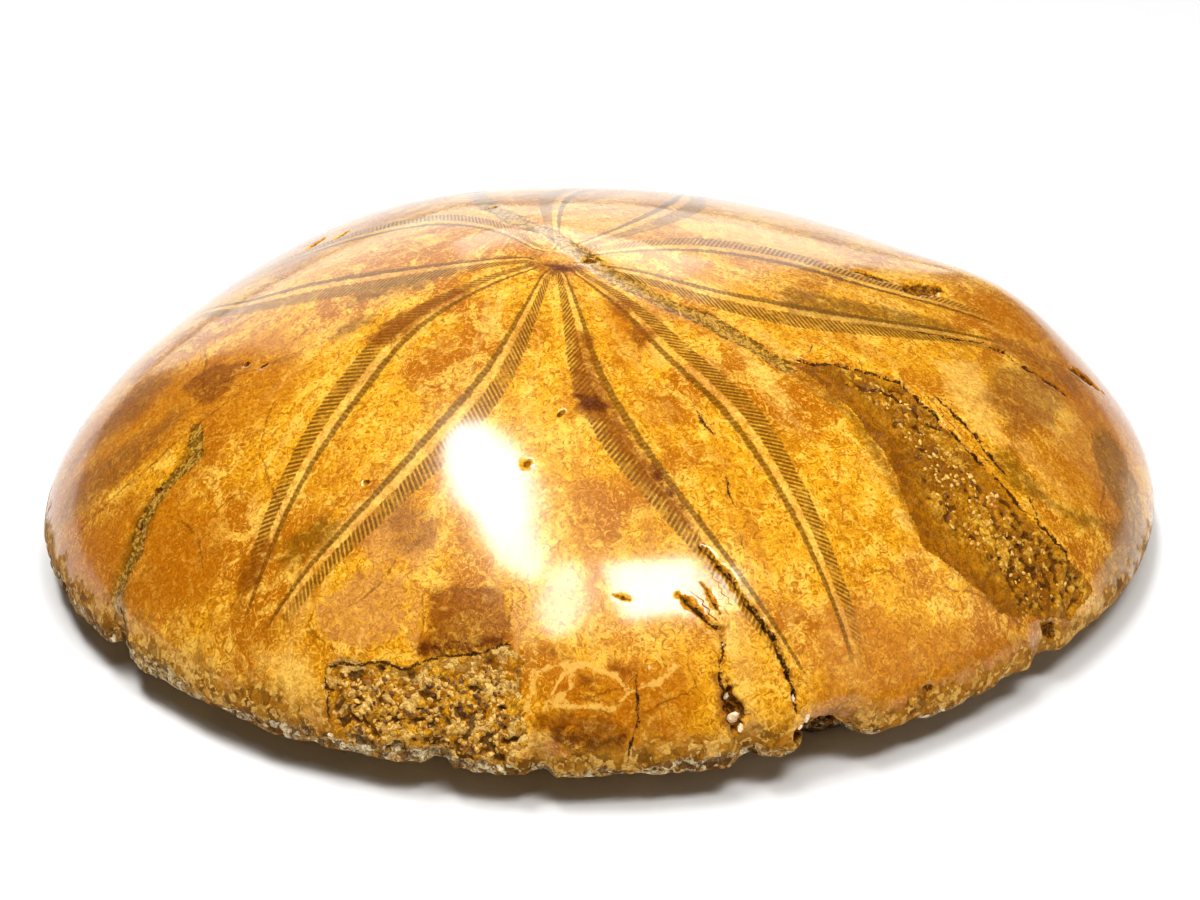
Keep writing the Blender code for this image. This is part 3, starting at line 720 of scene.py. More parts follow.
def dome_relief(skin):
    """How far each place of the dome stands proud of the bare shape; below 0 is sunk."""
    warp = np.stack([lumps(skin.place, 1.6, 11.0), lumps(skin.place, 1.6, 13.0)], 1) * 0.35
    wandering = skin.unrolled + warp
    relief = 0.05 * lumps(skin.place, 8.0, 5.0) + 0.012 * lumps(skin.place, 2.6, 6.0)
    skin.patch_depth = np.full(len(skin.run), -FAR)
    for outline in (RIGHT_PATCH, FRONT_PATCH):
        skin.patch_depth = np.maximum(skin.patch_depth, depth_inside(wandering, outline))
    skin.border_gap = line_distance(wandering, PATCH_BORDER)
    for centre, reach, rise in SWELLS:
        gap = np.linalg.norm(skin.unrolled - np.array(centre), axis=1)
        relief += rise * np.exp(-(gap / reach) ** 2)
    relief += patch_relief(skin)
    routes = [route for route, _, _ in CRACKS]
    widths = [half_width for _, half_width, _ in CRACKS]
    skin.crack_across, skin.crack_width = across_lines(wandering, routes, widths, CRACK_TAPER)
    for route, half_width, depth in CRACKS:
        gap = line_distance(wandering, route)
        groove = smooth(1.3 - gap / (half_width + 0.04)) * smooth(skin.crack_width / half_width)
        relief -= depth * groove * smooth(lumps(skin.place, 0.7, 53.0, gap < 1.0) * 2.4 + 0.5)
    skin.seam_across, skin.seam_width = across_lines(
        wandering, SEAMS, [SEAM_WIDTH] * len(SEAMS), SEAM_TAPER)
    skin.border_across, skin.border_width = across_lines(
        wandering, BORDERS, [BORDER_WIDTH] * len(BORDERS), BORDER_TAPER)
    skin.vein_share = np.full(len(skin.run), OUTSIDE)
    for route, half_width in VEINS:
        skin.vein_share = np.minimum(skin.vein_share, line_distance(wandering, route) / half_width)
    relief -= 0.06 * smooth(1.5 - skin.vein_share)
    skin.pit_share = np.full(len(skin.run), OUTSIDE)
    for pit in PITS:
        share = pit_reach(wandering, pit)
        share += 0.5 * lumps(skin.place, 0.5, 59.0, share < 2.0)
        skin.pit_share = np.minimum(skin.pit_share, share)
        relief -= pit[-1] * smooth(2.6 - 2.2 * share)
    return relief


def patch_relief(skin):
    """The sediment patches: sunk a little, grainy and lumpy, with small deep holes."""
    near = skin.patch_depth > -0.5
    lumpy = lumps(skin.place, PATCH_LUMP_SIZE, 3.0, near)
    grains = lumps(skin.place, 0.62, 17.0, near) + 0.6 * lumps(skin.place, 0.35, 19.0, near)
    holes = smooth((lumps(skin.place, 0.85, 47.0, near) - 0.30) / 0.10)
    low = smooth((skin.run - 38.0) / 6.0)
    holes = np.maximum(holes, low * smooth((lumps(skin.place, 0.7, 61.0, near) - 0.12) / 0.10))
    holes *= smooth((skin.border_gap - 1.5) / 1.5)
    amount = smooth(skin.patch_depth / PATCH_EDGE) * (0.3 + 0.7 * smooth(skin.border_gap / 2.2))
    # Painted shade: how far the small holes sink below the grains, which only serves to darken the
    # sediment's colour in them
    skin.hollow = amount * (holes - 0.8 * grains)
    height = PATCH_LUMPS * np.minimum(lumpy, 0.3) - 0.8 * PATCH_DEPTH + 0.13 * grains
    return amount * (height - 0.25 * holes)


def rim_relief(skin):
    """The unpolished edge under the rim: rough, with nicks broken out of it."""
    near = skin.place[:, 2] < ROUGH_LEVEL + 4.0
    edge_wave = 0.9 * lumps(skin.place, 3.0, 23.0, near) + 0.5 * lumps(skin.place, 0.9, 29.0, near)
    left = np.cos(skin.bearing - math.radians(RAW_BEARING))
    skin.raw_depth = ROUGH_LEVEL + RAW_RISE * left + edge_wave - skin.place[:, 2]
    low = smooth((skin.raw_depth + 0.5) / 0.9)
    rough = 0.5 * lumps(skin.place, ROUGH_GRAIN, 7.0, near)
    rough += 0.35 * lumps(skin.place, 1.1, 31.0, near) + 0.2 * lumps(skin.place, 0.5, 37.0, near)
    relief = low * ROUGH_DEPTH * (rough - 0.35)
    below_rim = smooth((skin.run - skin.rim_run + 3.0) / 3.0)
    round_lip = (skin.run - skin.rim_run - UNDERCUT_START) / UNDERCUT_LENGTH
    relief -= UNDERCUT * in_front(skin.bearing) * np.sin(math.pi * np.clip(round_lip, 0.0, 1.0))
    for bearing, half_width, bite in NICKS:
        turn = np.degrees(turn_from(skin.bearing, bearing))
        relief -= bite * below_rim * smooth(1.4 - turn / half_width)
    return relief


def underside_relief(skin):
    """Small unevenness of the raw underside."""
    under = ~skin.top
    relief = 0.20 * lumps(skin.place, 2.2, 41.0, under) + 0.10 * lumps(skin.place, 0.8, 43.0, under)
    return relief


def build_body():
    """The fossil's whole skin: the ball is laid on the bare shape, and relief is added."""
    tables = (dome_table(), lip_table())
    bm = bmesh.new()
    bmesh.ops.create_icosphere(bm, subdivisions=BALL_SUBDIVISIONS, radius=1.0)
    split_detail(bm, tables)
    skin = Skin(ball_directions(bm), tables)
    mesh = bpy.data.meshes.new("urchin_body")
    bm.to_mesh(mesh)
    bm.free()
    under = ~skin.top
    skin.place[under, 2] = underside_height(skin)[under]
    mesh.vertices.foreach_set("co", skin.place.ravel())
    mesh.update()
    normals = np.zeros(len(skin.run) * 3)
    mesh.vertex_normals.foreach_get("vector", normals)
    normals = normals.reshape(-1, 3)
    relief = np.where(skin.top, dome_relief(skin) + rim_relief(skin), underside_relief(skin))
    place = skin.place + normals * relief[:, None]
    place[:, 2] = np.maximum(place[:, 2] - WEAR, 0.0)
    middle_x, middle_y = box_middle()
    place -= np.array([middle_x, middle_y, 0.0])
    place = np.clip(place * MM, cad_low, cad_high)
    mesh.vertices.foreach_set("co", place.ravel())
    mesh.update()
    mesh.shade_smooth()
    add_marks(mesh, skin)
    body = bpy.data.objects.new("urchin_body", mesh)
    bpy.context.scene.collection.objects.link(body)
    return body, skin


def add_marks(mesh, skin):
    """Smooth values over the skin, which place each material's pattern."""
    across, along, fade = pore_rows(skin.unrolled)
    marks = {
        "row_across": np.where(skin.top, across, OUTSIDE),
        "row_along": along,
        "row_fade": fade,
        "patch_depth": np.where(skin.top, skin.patch_depth, -FAR),
        "hollow": np.where(skin.top, skin.hollow, 0.0),
        "crack_across": skin.crack_across,
        "crack_width": np.where(skin.top, skin.crack_width, -1.0),
        "seam_across": skin.seam_across,
        "seam_width": np.where(skin.top, skin.seam_width, -1.0),
        "border_across": skin.border_across,
        "border_width": np.where(skin.top, skin.border_width, -1.0),
        "vein_share": np.where(skin.top, skin.vein_share, OUTSIDE),
        "pit_share": np.where(skin.top, skin.pit_share, OUTSIDE),
        "raw_depth": np.where(skin.top, skin.raw_depth, OUTSIDE),
        "border_gap": np.where(skin.top, skin.border_gap, FAR),
        "in_front": 1.0 - smooth((skin.unrolled[:, 0] - FRONT_END) / FRONT_FADE),
    }
    for tone, outlines in STAINS.items():
        depth = np.full(len(skin.run), -FAR)
        for outline in outlines:
            depth = np.maximum(depth, depth_inside(skin.unrolled, outline))
        marks[tone + "_depth"] = np.where(skin.top, depth, -FAR)
    for name, values in marks.items():
        mark = mesh.attributes.new(name, "FLOAT", "POINT")
        mark.data.foreach_set("value", values.astype(np.float32))


# ---------------------------------------------------------------- materials


def srgb(red, green, blue):
    """A colour as seen, 0 to 255, as Blender's linear values."""
    def linear(value):
        value /= 255.0
        return value / 12.92 if value <= 0.04045 else ((value + 0.055) / 1.055) ** 2.4
    return (linear(red), linear(green), linear(blue), 1.0)


class Nodes:
    """Short ways to add and join a tree's nodes; most give the new node's output."""

    def __init__(self, tree):
        self.tree = tree

    def add(self, kind, **settings):
        node = self.tree.nodes.new(kind)
        for name, value in settings.items():
            setattr(node, name, value)
        return node

    def feed(self, socket, value):
        """Join an output to a socket, or set the socket to a plain value."""
        if isinstance(value, bpy.types.NodeSocket):
            self.tree.links.new(value, socket)
        else:
            socket.default_value = value

    def mark(self, name):
        """One of the skin's marks, from add_marks."""
        return self.add("ShaderNodeAttribute", attribute_name=name).outputs["Fac"]

    def math(self, operation, first, second=0.0):
        node = self.add("ShaderNodeMath", operation=operation)
        self.feed(node.inputs[0], first)
        self.feed(node.inputs[1], second)
        return node.outputs[0]

    def plus(self, first, second):
        return self.math("ADD", first, second)

    def minus(self, first, second):
        return self.math("SUBTRACT", first, second)

    def times(self, first, second):
        return self.math("MULTIPLY", first, second)

    def most(self, first, second):
        return self.math("MAXIMUM", first, second)

    def absolute(self, value):
        return self.math("ABSOLUTE", value)

    def vector(self, operation, *values):
        node = self.add("ShaderNodeVectorMath", operation=operation)
        for socket, value in zip(node.inputs, values):
            self.feed(socket, value)
        return node

    def step(self, value, start, end, low=0.0, high=1.0):
        """Ease from low to high as the value goes from start to end."""
        node = self.add("ShaderNodeMapRange", interpolation_type="SMOOTHSTEP")
        self.feed(node.inputs["Value"], value)
        node.inputs["From Min"].default_value = start
        node.inputs["From Max"].default_value = end
        node.inputs["To Min"].default_value = low
        node.inputs["To Max"].default_value = high
        return node.outputs["Result"]

    def mix(self, share, first, second, blend="MIX"):
        node = self.add("ShaderNodeMix", data_type="RGBA", blend_type=blend)
        self.feed(node.inputs[0], share)
        self.feed(node.inputs[6], first)
        self.feed(node.inputs[7], second)
        return node.outputs[2]

    def noise(self, place, scale, detail, roughness, distortion=0.0, output="Fac"):
        node = self.add("ShaderNodeTexNoise")
        self.feed(node.inputs["Vector"], place)
        node.inputs["Scale"].default_value = scale
        node.inputs["Detail"].default_value = detail
        node.inputs["Roughness"].default_value = roughness
        node.inputs["Distortion"].default_value = distortion
        return node.outputs[output]

    def uneven(self, place, scale, detail, roughness):
        """Unevenness round 0, from -0.5 to 0.5."""
        return self.minus(self.noise(place, scale, detail, roughness), 0.5)

    def cells(self, place, scale, feature="F1"):
        node = self.add("ShaderNodeTexVoronoi", feature=feature)
        self.feed(node.inputs["Vector"], place)
        node.inputs["Scale"].default_value = scale
        return node

    def millimetres(self):
        """The place on the piece, in millimetres."""
        coordinates = self.add("ShaderNodeTexCoord")
        scaled = self.add("ShaderNodeVectorMath", operation="SCALE")
        self.feed(scaled.inputs[0], coordinates.outputs["Object"])
        scaled.inputs["Scale"].default_value = 1.0 / MM
        return scaled.outputs[0]

    def group(self, tree, **values):
        node = self.add("ShaderNodeGroup")
        node.node_tree = tree
        for name, value in values.items():
            self.feed(node.inputs[name.replace("_", " ")], value)
        return node


def new_group(name, inputs, outputs):
    """A new group of nodes: its tree, its nodes, what it is given and what it gives."""
    tree = bpy.data.node_groups.new(name, "ShaderNodeTree")
    for label, kind in inputs:
        tree.interface.new_socket(label, in_out="INPUT", socket_type=kind)
    for label, kind in outputs:
        tree.interface.new_socket(label, in_out="OUTPUT", socket_type=kind)
    nodes = Nodes(tree)
    return tree, nodes, nodes.add("NodeGroupInput").outputs, nodes.add("NodeGroupOutput").inputs


FLOAT, COLOUR, VECTOR = "NodeSocketFloat", "NodeSocketColor", "NodeSocketVector"


def mottle_group():
    """Three colours of stone clouded into each other, with short fine strokes and flecks."""
    tree, nodes, given, result = new_group(
        "Stone mottle",
        (("Place", VECTOR), ("Light", COLOUR), ("Main", COLOUR), ("Deep", COLOUR),
         ("Fleck", COLOUR), ("Flecks", FLOAT)),
        (("Colour", COLOUR), ("Height", FLOAT), ("Grain", FLOAT)))
    clouds = nodes.noise(given["Place"], 0.12, 3.0, 0.55, 0.5)
    patches = nodes.noise(given["Place"], 0.36, 4.0, 0.62, 1.2)
    blots = nodes.noise(given["Place"], 0.9, 4.0, 0.66, 2.0)
    strokes = nodes.noise(given["Place"], 1.7, 3.0, 0.62, 2.4)
    grit = nodes.noise(given["Place"], 3.6, 3.0, 0.62, 1.5)
    colour = nodes.mix(nodes.step(clouds, 0.42, 0.60), given["Main"], given["Deep"])
    colour = nodes.mix(nodes.step(patches, 0.50, 0.60, 0.0, 0.6), colour, given["Light"])
    colour = nodes.mix(nodes.step(blots, 0.46, 0.40, 0.0, 0.65), colour, given["Deep"])
    colour = nodes.mix(nodes.step(strokes, 0.54, 0.61, 0.0, 0.45), colour, given["Light"])
    dark = nodes.times(nodes.step(strokes, 0.45, 0.37), given["Flecks"])
    colour = nodes.mix(dark, colour, given["Deep"])
    lines = nodes.step(nodes.absolute(nodes.minus(blots, 0.5)), 0.012, 0.004)
    lines = nodes.times(lines, nodes.step(patches, 0.56, 0.46, 0.0, 0.4))
    specks = nodes.times(nodes.step(grit, 0.62, 0.68), nodes.step(patches, 0.54, 0.44))
    flecks = nodes.times(nodes.most(specks, lines), given["Flecks"])
    colour = nodes.mix(flecks, colour, given["Fleck"])
    grain = nodes.plus(nodes.times(strokes, 0.55), nodes.times(grit, 0.45))
    nodes.feed(result["Colour"], colour)
    nodes.feed(result["Height"], grit)
    nodes.feed(result["Grain"], nodes.step(grain, 0.38, 0.60, 0.80, 1.14))
    return tree


def grain_bed_group():
    """Grains of three colours packed together, with dark gaps between them."""
    tree, nodes, given, result = new_group(
        "Grain bed",
        (("Place", VECTOR), ("Light", COLOUR), ("Main", COLOUR), ("Dark", COLOUR)),
        (("Colour", COLOUR), ("Height", FLOAT)))
    bend = nodes.noise(given["Place"], 1.7, 4.0, 0.5, output="Color")
    bent = nodes.vector("MULTIPLY_ADD", bend, (1.3, 1.3, 1.3), given["Place"]).outputs[0]
    colour = given["Main"]
    height = 0.0
    for scale, share in GRAIN_BEDS:
        tone = nodes.add("ShaderNodeSeparateColor")
        nodes.feed(tone.inputs[0], nodes.cells(bent, scale).outputs["Color"])
        pale = nodes.step(tone.outputs[0], 0.66, 0.86, 0.0, share)
        dark = nodes.step(tone.outputs[1], 0.78, 0.90, 0.0, share)
        colour = nodes.mix(dark, nodes.mix(pale, colour, given["Light"]), given["Dark"])
        gap = nodes.cells(bent, scale, "DISTANCE_TO_EDGE").outputs["Distance"]
        rise = nodes.step(gap, 0.02, 0.16)
        colour = nodes.mix(nodes.minus(0.36, nodes.times(rise, 0.36)), colour, given["Dark"])
        height = nodes.plus(height, nodes.times(rise, tone.outputs[2]))
    nodes.feed(result["Colour"], colour)
    nodes.feed(result["Height"], height)
    return tree


def new_material(name):
    """A new material, its nodes and its shader."""
    material = bpy.data.materials.new(name)
    material.use_nodes = True
    return material, Nodes(material.node_tree), material.node_tree.nodes["Principled BSDF"]


def bump(nodes, height, strength, distance):
    """The face's direction, made uneven by a height."""
    node = nodes.add("ShaderNodeBump")
    nodes.feed(node.inputs["Height"], height)
    node.inputs["Strength"].default_value = strength
    node.inputs["Distance"].default_value = distance
    return node.outputs["Normal"]


def pore_row_colours(nodes, place, colour):
    """The petals' rows: a dark line, a paler stripe and a band of fine slits."""
    across, along, fade = (nodes.mark(name) for name in ("row_across", "row_along", "row_fade"))
    ragged = nodes.uneven(place, 2.6, 3.0, 0.7)
    across = nodes.plus(across, nodes.times(ragged, 0.30))
    slanted = nodes.minus(along, nodes.times(across, SLIT_SLANT))
    beat = nodes.plus(nodes.math("DIVIDE", slanted, SLIT_SPACING),
                      nodes.times(ragged, 0.8))
    slits = nodes.step(nodes.math("PINGPONG", beat, 0.5), 0.12, 0.30)
    worn = nodes.step(nodes.noise(place, 0.8, 4.0, 0.7), 0.34, 0.52, 0.25, 1.0)
    worn = nodes.times(worn, fade)
    stripe = nodes.absolute(nodes.minus(across, 0.36))
    pale = nodes.times(nodes.step(stripe, 0.26, 0.10, 0.0, 0.4), worn)
    colour = nodes.mix(pale, colour, srgb(246, 194, 104))
    from_band = nodes.absolute(nodes.minus(across, 1.0))
    band = nodes.step(from_band, 0.46, 0.36)
    colour = nodes.mix(nodes.times(nodes.times(band, fade), 0.55), colour,
                       srgb(184, 134, 40))
    slit_share = nodes.times(nodes.times(band, slits), worn)
    colour = nodes.mix(nodes.times(slit_share, 0.85), colour, srgb(114, 72, 8))
    dots = nodes.step(nodes.math("PINGPONG", nodes.math("DIVIDE", along, SLIT_SPACING), 0.5),
                      0.0, 0.4, 0.75, 1.0)
    line = nodes.step(nodes.absolute(across), 0.21, 0.11)
    line = nodes.times(nodes.times(line, dots), nodes.step(fade, 0.0, 0.5))
    return nodes.mix(nodes.times(line, 0.85), colour, srgb(112, 76, 8))


def stained(nodes, place, colour, tone, shade, strength, softness):
    """A stretch of another tone, ragged at its edge."""
    depth = nodes.mark(tone + "_depth")
    ragged = nodes.uneven(place, 0.7, 6.0, 0.75)
    depth = nodes.plus(depth, nodes.times(ragged, 2.3))
    streaky = nodes.step(nodes.noise(place, 1.4, 5.0, 0.75, 1.0), 0.36, 0.56, 0.45, 1.0)
    share = nodes.times(nodes.step(depth, -0.25 * softness, softness, 0.0, strength), streaky)
    return nodes.mix(share, colour, shade)


def radial_streaks(nodes, place):
    """Long faint streaks which run down from the dome's top."""
    middle_x, middle_y = box_middle()
    from_top = nodes.vector("SUBTRACT", place, (-middle_x, -middle_y, 0.0)).outputs[0]
    flat = nodes.vector("MULTIPLY", from_top, (1.0, 1.0, 0.0)).outputs[0]
    around = nodes.vector("NORMALIZE", flat).outputs[0]
    reach = nodes.vector("LENGTH", flat).outputs["Value"]
    rise = nodes.add("ShaderNodeCombineXYZ")
    nodes.feed(rise.inputs["Z"], nodes.times(reach, 0.012))
    joined = nodes.vector("ADD", around, rise.outputs[0])
    return nodes.noise(joined.outputs[0], 9.0, 6.0, 0.72)


def line_mask(nodes, place, name, blur):
    """Where a fine line runs; it is jagged, and broken here and there."""
    jagged = nodes.uneven(place, 3.4, 4.0, 0.75)
    across = nodes.plus(nodes.mark(name + "_across"), nodes.times(jagged, 0.55))
    width = nodes.mark(name + "_width")
    broken = nodes.step(nodes.noise(place, 1.3, 4.0, 0.75), 0.38, 0.60, 0.10, 1.35)
    inside = nodes.minus(nodes.times(width, broken), nodes.absolute(across))
    return nodes.step(inside, -blur, blur)


def shell_colour(nodes, place, stone):
    """The polished face's clouds, stains, a painted reflection on the top, pore rows and vein."""
    colour = stone.outputs["Colour"]
    streaks = radial_streaks(nodes, place)
    colour = nodes.mix(nodes.step(streaks, 0.52, 0.62, 0.0, 0.35), colour, srgb(244, 196, 104))
    colour = nodes.mix(nodes.step(streaks, 0.48, 0.38, 0.0, 0.45), colour, srgb(182, 112, 16))
    for tone, shade, strength, softness in TONES[:5]:
        colour = stained(nodes, place, colour, tone, srgb(*shade), strength, softness)
    colour = pore_row_colours(nodes, place, colour)
    for tone, shade, strength, softness in TONES[5:]:
        colour = stained(nodes, place, colour, tone, srgb(*shade), strength, softness)
    vein = nodes.mark("vein_share")
    wander = nodes.uneven(place, 1.2, 4.0, 0.7)
    vein = nodes.plus(vein, nodes.times(wander, 1.8))
    spots = nodes.noise(place, 1.8, 3.0, 0.7, 1.5)
    grey = nodes.mix(nodes.step(spots, 0.45, 0.56), srgb(118, 84, 14), srgb(196, 154, 70))
    colour = nodes.mix(nodes.step(vein, 1.15, 0.85, 0.0, 0.85), colour, grey)
    border = nodes.step(nodes.absolute(nodes.minus(vein, 1.0)), 0.30, 0.10)
    border = nodes.times(border, nodes.step(spots, 0.56, 0.46, 0.0, 0.7))
    colour = nodes.mix(border, colour, srgb(92, 58, 6))
    return nodes.mix(1.0, colour, stone.outputs["Grain"], "MULTIPLY")


def shell_material(mottle, bed):
    """Polished calcite, with cracks and pits in it, which turns to grains near the raw rim."""
    material, nodes, bsdf = new_material("polished_shell")
    place = nodes.millimetres()
    stone = nodes.group(mottle, Place=place, Light=srgb(250, 200, 88), Main=srgb(230, 164, 30),
                        Deep=srgb(184, 112, 10), Fleck=srgb(128, 78, 6), Flecks=0.8)
    colour = shell_colour(nodes, place, stone)
    seam = nodes.times(line_mask(nodes, place, "seam", 0.05), 0.6)
    colour = nodes.mix(seam, colour, srgb(116, 66, 4))
    border = nodes.times(line_mask(nodes, place, "border", 0.10), 0.7)
    colour = nodes.mix(border, colour, srgb(240, 190, 96))
    grains = nodes.group(bed, Place=place, Light=srgb(236, 190, 104), Main=srgb(176, 120, 26),
                         Dark=srgb(92, 56, 6))
    patchy = nodes.times(nodes.uneven(place, 0.6, 4.0, 0.7), 6.0)
    near_raw = nodes.step(nodes.plus(nodes.mark("raw_depth"), patchy), -3.2, -0.8, 0.0, 0.9)
    colour = nodes.mix(near_raw, colour, grains.outputs["Colour"])
    gap = nodes.minus(nodes.absolute(nodes.mark("crack_across")),
                     nodes.mark("crack_width"))
    colour = nodes.mix(nodes.step(gap, 0.30, 0.0, 0.0, 0.25), colour, srgb(150, 92, 12))
    crack = line_mask(nodes, place, "crack", 0.04)
    filling = nodes.noise(place, 2.6, 4.0, 0.75, 1.0)
    colour = nodes.mix(crack, colour, nodes.mix(nodes.step(filling, 0.54, 0.62, 0.0, 0.5),
                                                srgb(64, 38, 6), srgb(168, 130, 64)))
    pit = nodes.mark("pit_share")
    pit_tone = nodes.mix(nodes.step(filling, 0.46, 0.60), srgb(74, 38, 4), srgb(160, 108, 34))
    hole = nodes.step(pit, 1.08, 0.92)
    colour = nodes.mix(nodes.times(hole, 0.92), colour, pit_tone)
    nodes.feed(bsdf.inputs["Base Color"], colour)
    broken = nodes.most(nodes.step(pit, 1.25, 1.05), nodes.step(gap, 0.16, 0.02))
    broken = nodes.most(broken, nodes.times(near_raw, 0.7))
    rough = nodes.step(stone.outputs["Height"], 0.35, 0.70, 0.16, 0.34)
    rough = nodes.most(rough, nodes.times(broken, 0.9))
    nodes.feed(bsdf.inputs["Roughness"], rough)
    nodes.feed(bsdf.inputs["Coat Weight"], nodes.step(broken, 0.6, 0.1, 0.0, 0.9))
    bsdf.inputs["Coat Roughness"].default_value = 0.12
    bsdf.inputs["Specular IOR Level"].default_value = 0.12
    nodes.feed(bsdf.inputs["Normal"], bump(nodes, stone.outputs["Grain"], 0.3, 0.0001))
    return material


def sediment_material(mottle, bed):
    """Golden stone at the right, with a smooth brown border; paler grains at the front; painted
    shade in its sunk holes.
    """
    material, nodes, bsdf = new_material("sediment")
    place = nodes.millimetres()
    right = nodes.group(mottle, Place=place, Light=srgb(196, 140, 22), Main=srgb(176, 116, 6),
                        Deep=srgb(142, 88, 2), Fleck=srgb(96, 56, 2), Flecks=0.8)
    front = nodes.group(mottle, Place=place, Light=srgb(238, 186, 66), Main=srgb(212, 150, 22),
                        Deep=srgb(178, 116, 4), Fleck=srgb(116, 70, 2), Flecks=0.9)
    at_front = nodes.mark("in_front")
    stone = nodes.mix(at_front, right.outputs["Colour"], front.outputs["Colour"])
    pale = nodes.mix(at_front, srgb(236, 186, 74), srgb(248, 212, 134))
    grains = nodes.group(bed, Place=place, Light=pale, Main=stone, Dark=srgb(128, 76, 2))
    clustered = nodes.step(nodes.noise(place, 0.35, 3.0, 0.6, 0.6), 0.44, 0.56)
    edge = nodes.step(nodes.mark("border_gap"), 1.2, 3.4)
    grainy = nodes.times(clustered, edge)
    share = nodes.most(nodes.times(grainy, 0.75), nodes.times(at_front, 0.8))
    colour = nodes.mix(share, stone, grains.outputs["Colour"])
    # Painted shade: the sunk holes are darkened in step with their depth
    hollow = nodes.step(nodes.mark("hollow"), 0.45, 0.90, 0.0, 0.8)
    colour = nodes.mix(hollow, colour, srgb(84, 46, 2))
    colour = nodes.mix(1.0, colour, right.outputs["Grain"], "MULTIPLY")
    border = nodes.minus(1.0, nodes.step(nodes.mark("border_gap"), 0.8, 2.4))
    streaks = nodes.noise(place, 1.1, 5.0, 0.7, 1.2)
    brown = nodes.mix(nodes.step(streaks, 0.42, 0.60), srgb(128, 76, 2), srgb(172, 108, 6))
    colour = nodes.mix(nodes.times(border, 0.85), colour, brown)
    colour = nodes.mix(line_mask(nodes, place, "crack", 0.04), colour, srgb(84, 48, 4))
    nodes.feed(bsdf.inputs["Base Color"], colour)
    rough = nodes.step(right.outputs["Height"], 0.3, 0.7, 0.25, 0.55)
    smoother = nodes.minus(1.0, nodes.times(border, 0.5))
    nodes.feed(bsdf.inputs["Roughness"], nodes.times(rough, smoother))
    bsdf.inputs["Specular IOR Level"].default_value = 0.15
    nodes.feed(bsdf.inputs["Normal"], bump(nodes, grains.outputs["Height"], 0.5, 0.00015))
    return material


def raw_stone_material(mottle, bed):
    """The raw grey-beige stone of the rim and the underside."""
    material, nodes, bsdf = new_material("raw_stone")
    place = nodes.millimetres()
    stone = nodes.group(mottle, Place=place, Light=srgb(248, 212, 142), Main=srgb(222, 172, 92),
                        Deep=srgb(178, 124, 48), Fleck=srgb(98, 58, 12), Flecks=1.0)
    grains = nodes.group(bed, Place=place, Light=srgb(255, 236, 192), Main=stone.outputs["Colour"],
                         Dark=srgb(104, 64, 18))
    colour = nodes.mix(1.0, grains.outputs["Colour"], stone.outputs["Grain"], "MULTIPLY")
    nodes.feed(bsdf.inputs["Base Color"], colour)
    bsdf.inputs["Roughness"].default_value = 0.85
    bsdf.inputs["Specular IOR Level"].default_value = 0.15
    nodes.feed(bsdf.inputs["Normal"], bump(nodes, grains.outputs["Height"], 0.7, 0.0003))
    return material


def grain_material(name, light, dark, rough):
    """A loose grain's spotted stone."""
    material, nodes, bsdf = new_material(name)
    spots = nodes.noise(nodes.millimetres(), 3.0, 3.0, 0.7)
    colour = nodes.mix(nodes.step(spots, 0.42, 0.60), srgb(*dark), srgb(*light))
    nodes.feed(bsdf.inputs["Base Color"], colour)
    bsdf.inputs["Roughness"].default_value = rough
    nodes.feed(bsdf.inputs["Normal"], bump(nodes, spots, 0.5, 0.0002))
    return material


def add_grain(bm, place, normal, size, turn, material_index):
    """A small angular bit of stone, bedded in the surface."""
    grown = bmesh.ops.create_icosphere(bm, subdivisions=1, radius=size / 2)
    lean = normal.to_track_quat("Z", "Y").to_matrix().to_4x4()
    shape = Matrix.Diagonal(GRAIN_SHAPE + (1.0,))
    place = Matrix.Translation(place) @ lean @ Matrix.Rotation(turn, 4, "Z") @ shape
    bmesh.ops.transform(bm, matrix=place, verts=grown["verts"])
    for vertex in grown["verts"]:
        for face in vertex.link_faces:
            face.material_index = material_index


def build_grains(body, skin):
    """White crystals in the broken places, and loose grains bedded in the sediment."""
    chance = random.Random(GRAIN_SEED)
    bm = bmesh.new()
    for place, size in CRYSTALS:
        gap = np.hypot(*(skin.unrolled - np.array(place)).T) + np.where(skin.top, 0.0, FAR)
        vertex = body.data.vertices[int(gap.argmin())]
        add_grain(bm, vertex.co, vertex.normal, size * MM, chance.uniform(0.0, 3.0), 0)
    inner = np.flatnonzero(skin.top & (skin.patch_depth > GRAIN_INSET))
    for _ in range(GRAINS):
        chosen = int(inner[chance.randrange(len(inner))])
        vertex = body.data.vertices[chosen]
        size = chance.uniform(*GRAIN_SIZE) * MM
        kind = 1 if chance.random() < PALE_SHARE else 2
        at_right = skin.unrolled[chosen, 0] > RIGHT_START
        if at_right and (chance.random() > RIGHT_SHARE or skin.border_gap[chosen] < GRAINLESS):
            continue
        add_grain(bm, vertex.co, vertex.normal, size, chance.uniform(0.0, 3.0), kind)
    mesh = bpy.data.meshes.new("bedded_grains")
    bm.to_mesh(mesh)
    bm.free()
    place = np.zeros(len(mesh.vertices) * 3)
    mesh.vertices.foreach_get("co", place)
    mesh.vertices.foreach_set("co", np.clip(place.reshape(-1, 3), cad_low, cad_high).ravel())
    grains = bpy.data.objects.new("bedded_grains", mesh)
    for look in GRAIN_LOOKS:
        mesh.materials.append(grain_material(*look))
    bpy.context.scene.collection.objects.link(grains)
    return grains


def dress_body(body, skin):
    """Give each facet the finish of the stretch of skin that it is on."""
    mottle, bed = mottle_group(), grain_bed_group()
    for make in (shell_material, sediment_material, raw_stone_material):
        body.data.materials.append(make(mottle, bed))
    corners = np.zeros(len(body.data.polygons) * 3, int)
    body.data.polygons.foreach_get("vertices", corners)
    corners = corners.reshape(-1, 3)
    raw = np.where(skin.top, skin.raw_depth, OUTSIDE)[corners].mean(axis=1) > 0.0
    patch = np.where(skin.top, skin.patch_depth, -FAR)[corners].mean(axis=1) > 0.0
    index = np.where(raw, 2, np.where(patch, 1, 0))
    body.data.polygons.foreach_set("material_index", index.astype(np.int32))


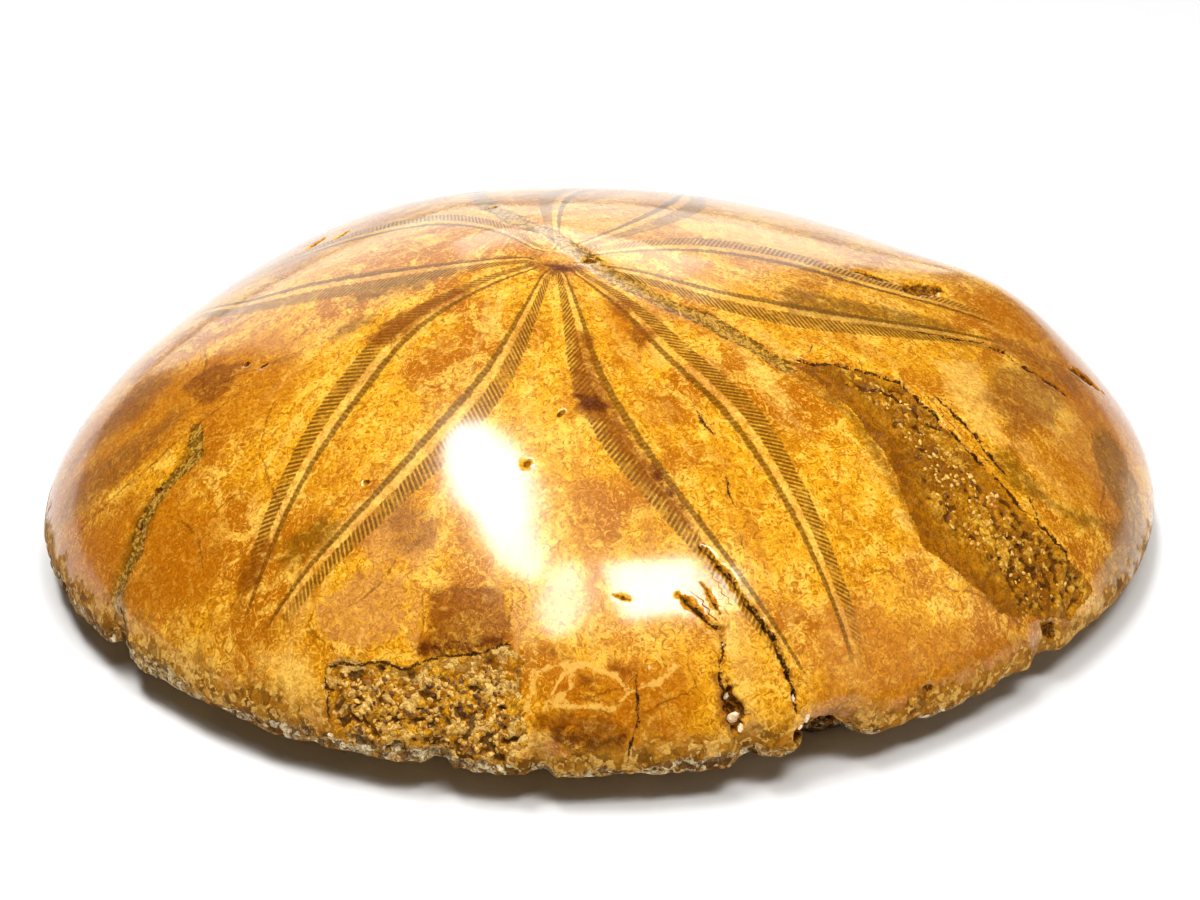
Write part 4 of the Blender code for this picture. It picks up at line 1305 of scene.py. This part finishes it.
# ---------------------------------------------------------------- stage


def plain_material(name, colour, roughness):
    """One colour and one roughness."""
    material, _, bsdf = new_material(name)
    bsdf.inputs["Base Color"].default_value = colour
    bsdf.inputs["Roughness"].default_value = roughness
    return material


def add_floor():
    """White paper that the fossil lies on."""
    bpy.ops.mesh.primitive_plane_add(size=FLOOR_SIZE)
    floor = bpy.context.object
    floor.name = "floor"
    floor.data.materials.append(plain_material("floor_paper", FLOOR_COLOUR, 0.9))


def add_panel(name, shape, place, size, turn, brightness):
    """A plain panel of light, which faces down before it is turned."""
    light = bpy.data.lights.new(name, "AREA")
    light.shape = shape
    light.size, light.size_y = size
    area = size[0] * size[1] * (math.pi / 4 if shape == "ELLIPSE" else 1.0)
    light.energy = brightness * math.pi * area
    lamp = bpy.data.objects.new(name, light)
    lamp.location = place
    lamp.rotation_euler = (math.radians(turn[0]), 0.0, math.radians(turn[1]))
    bpy.context.scene.collection.objects.link(lamp)


def add_lights():
    """A dim even room and the panels."""
    world = bpy.data.worlds.new("studio")
    world.use_nodes = True
    background = world.node_tree.nodes["Background"]
    background.inputs["Color"].default_value = (1.0, 1.0, 1.0, 1.0)
    background.inputs["Strength"].default_value = ROOM_BRIGHTNESS
    bpy.context.scene.world = world
    for panel in PANELS:
        add_panel(*panel)


def add_camera():
    """The camera looks at its target from straight in front, and from above by its rise."""
    middle_x, middle_y = box_middle()
    x, y, z = CAMERA_TARGET
    place = (x - middle_x, y - middle_y - CAMERA_DISTANCE * math.cos(CAMERA_RISE),
             z + CAMERA_DISTANCE * math.sin(CAMERA_RISE))
    lens = bpy.data.cameras.new("camera")
    lens.lens = LENS
    lens.sensor_width = SENSOR
    lens.sensor_fit = "HORIZONTAL"
    lens.clip_start = 0.01
    camera = bpy.data.objects.new("camera", lens)
    camera.location = Vector(place) * MM
    camera.rotation_euler = (math.pi / 2 - CAMERA_RISE, 0.0, 0.0)
    bpy.context.scene.collection.objects.link(camera)
    bpy.context.scene.camera = camera


cad_low, cad_high = (np.array(corner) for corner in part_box(NODE))
add_camera()
add_lights()
add_floor()
bpy.context.scene.view_settings.view_transform = "Standard"
bpy.context.scene.view_settings.look = "Medium High Contrast"

body, skin = build_body()
dress_body(body, skin)
grains = build_grains(body, skin)
for piece in (body, grains):
    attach(piece, "root")
    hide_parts(NODE)
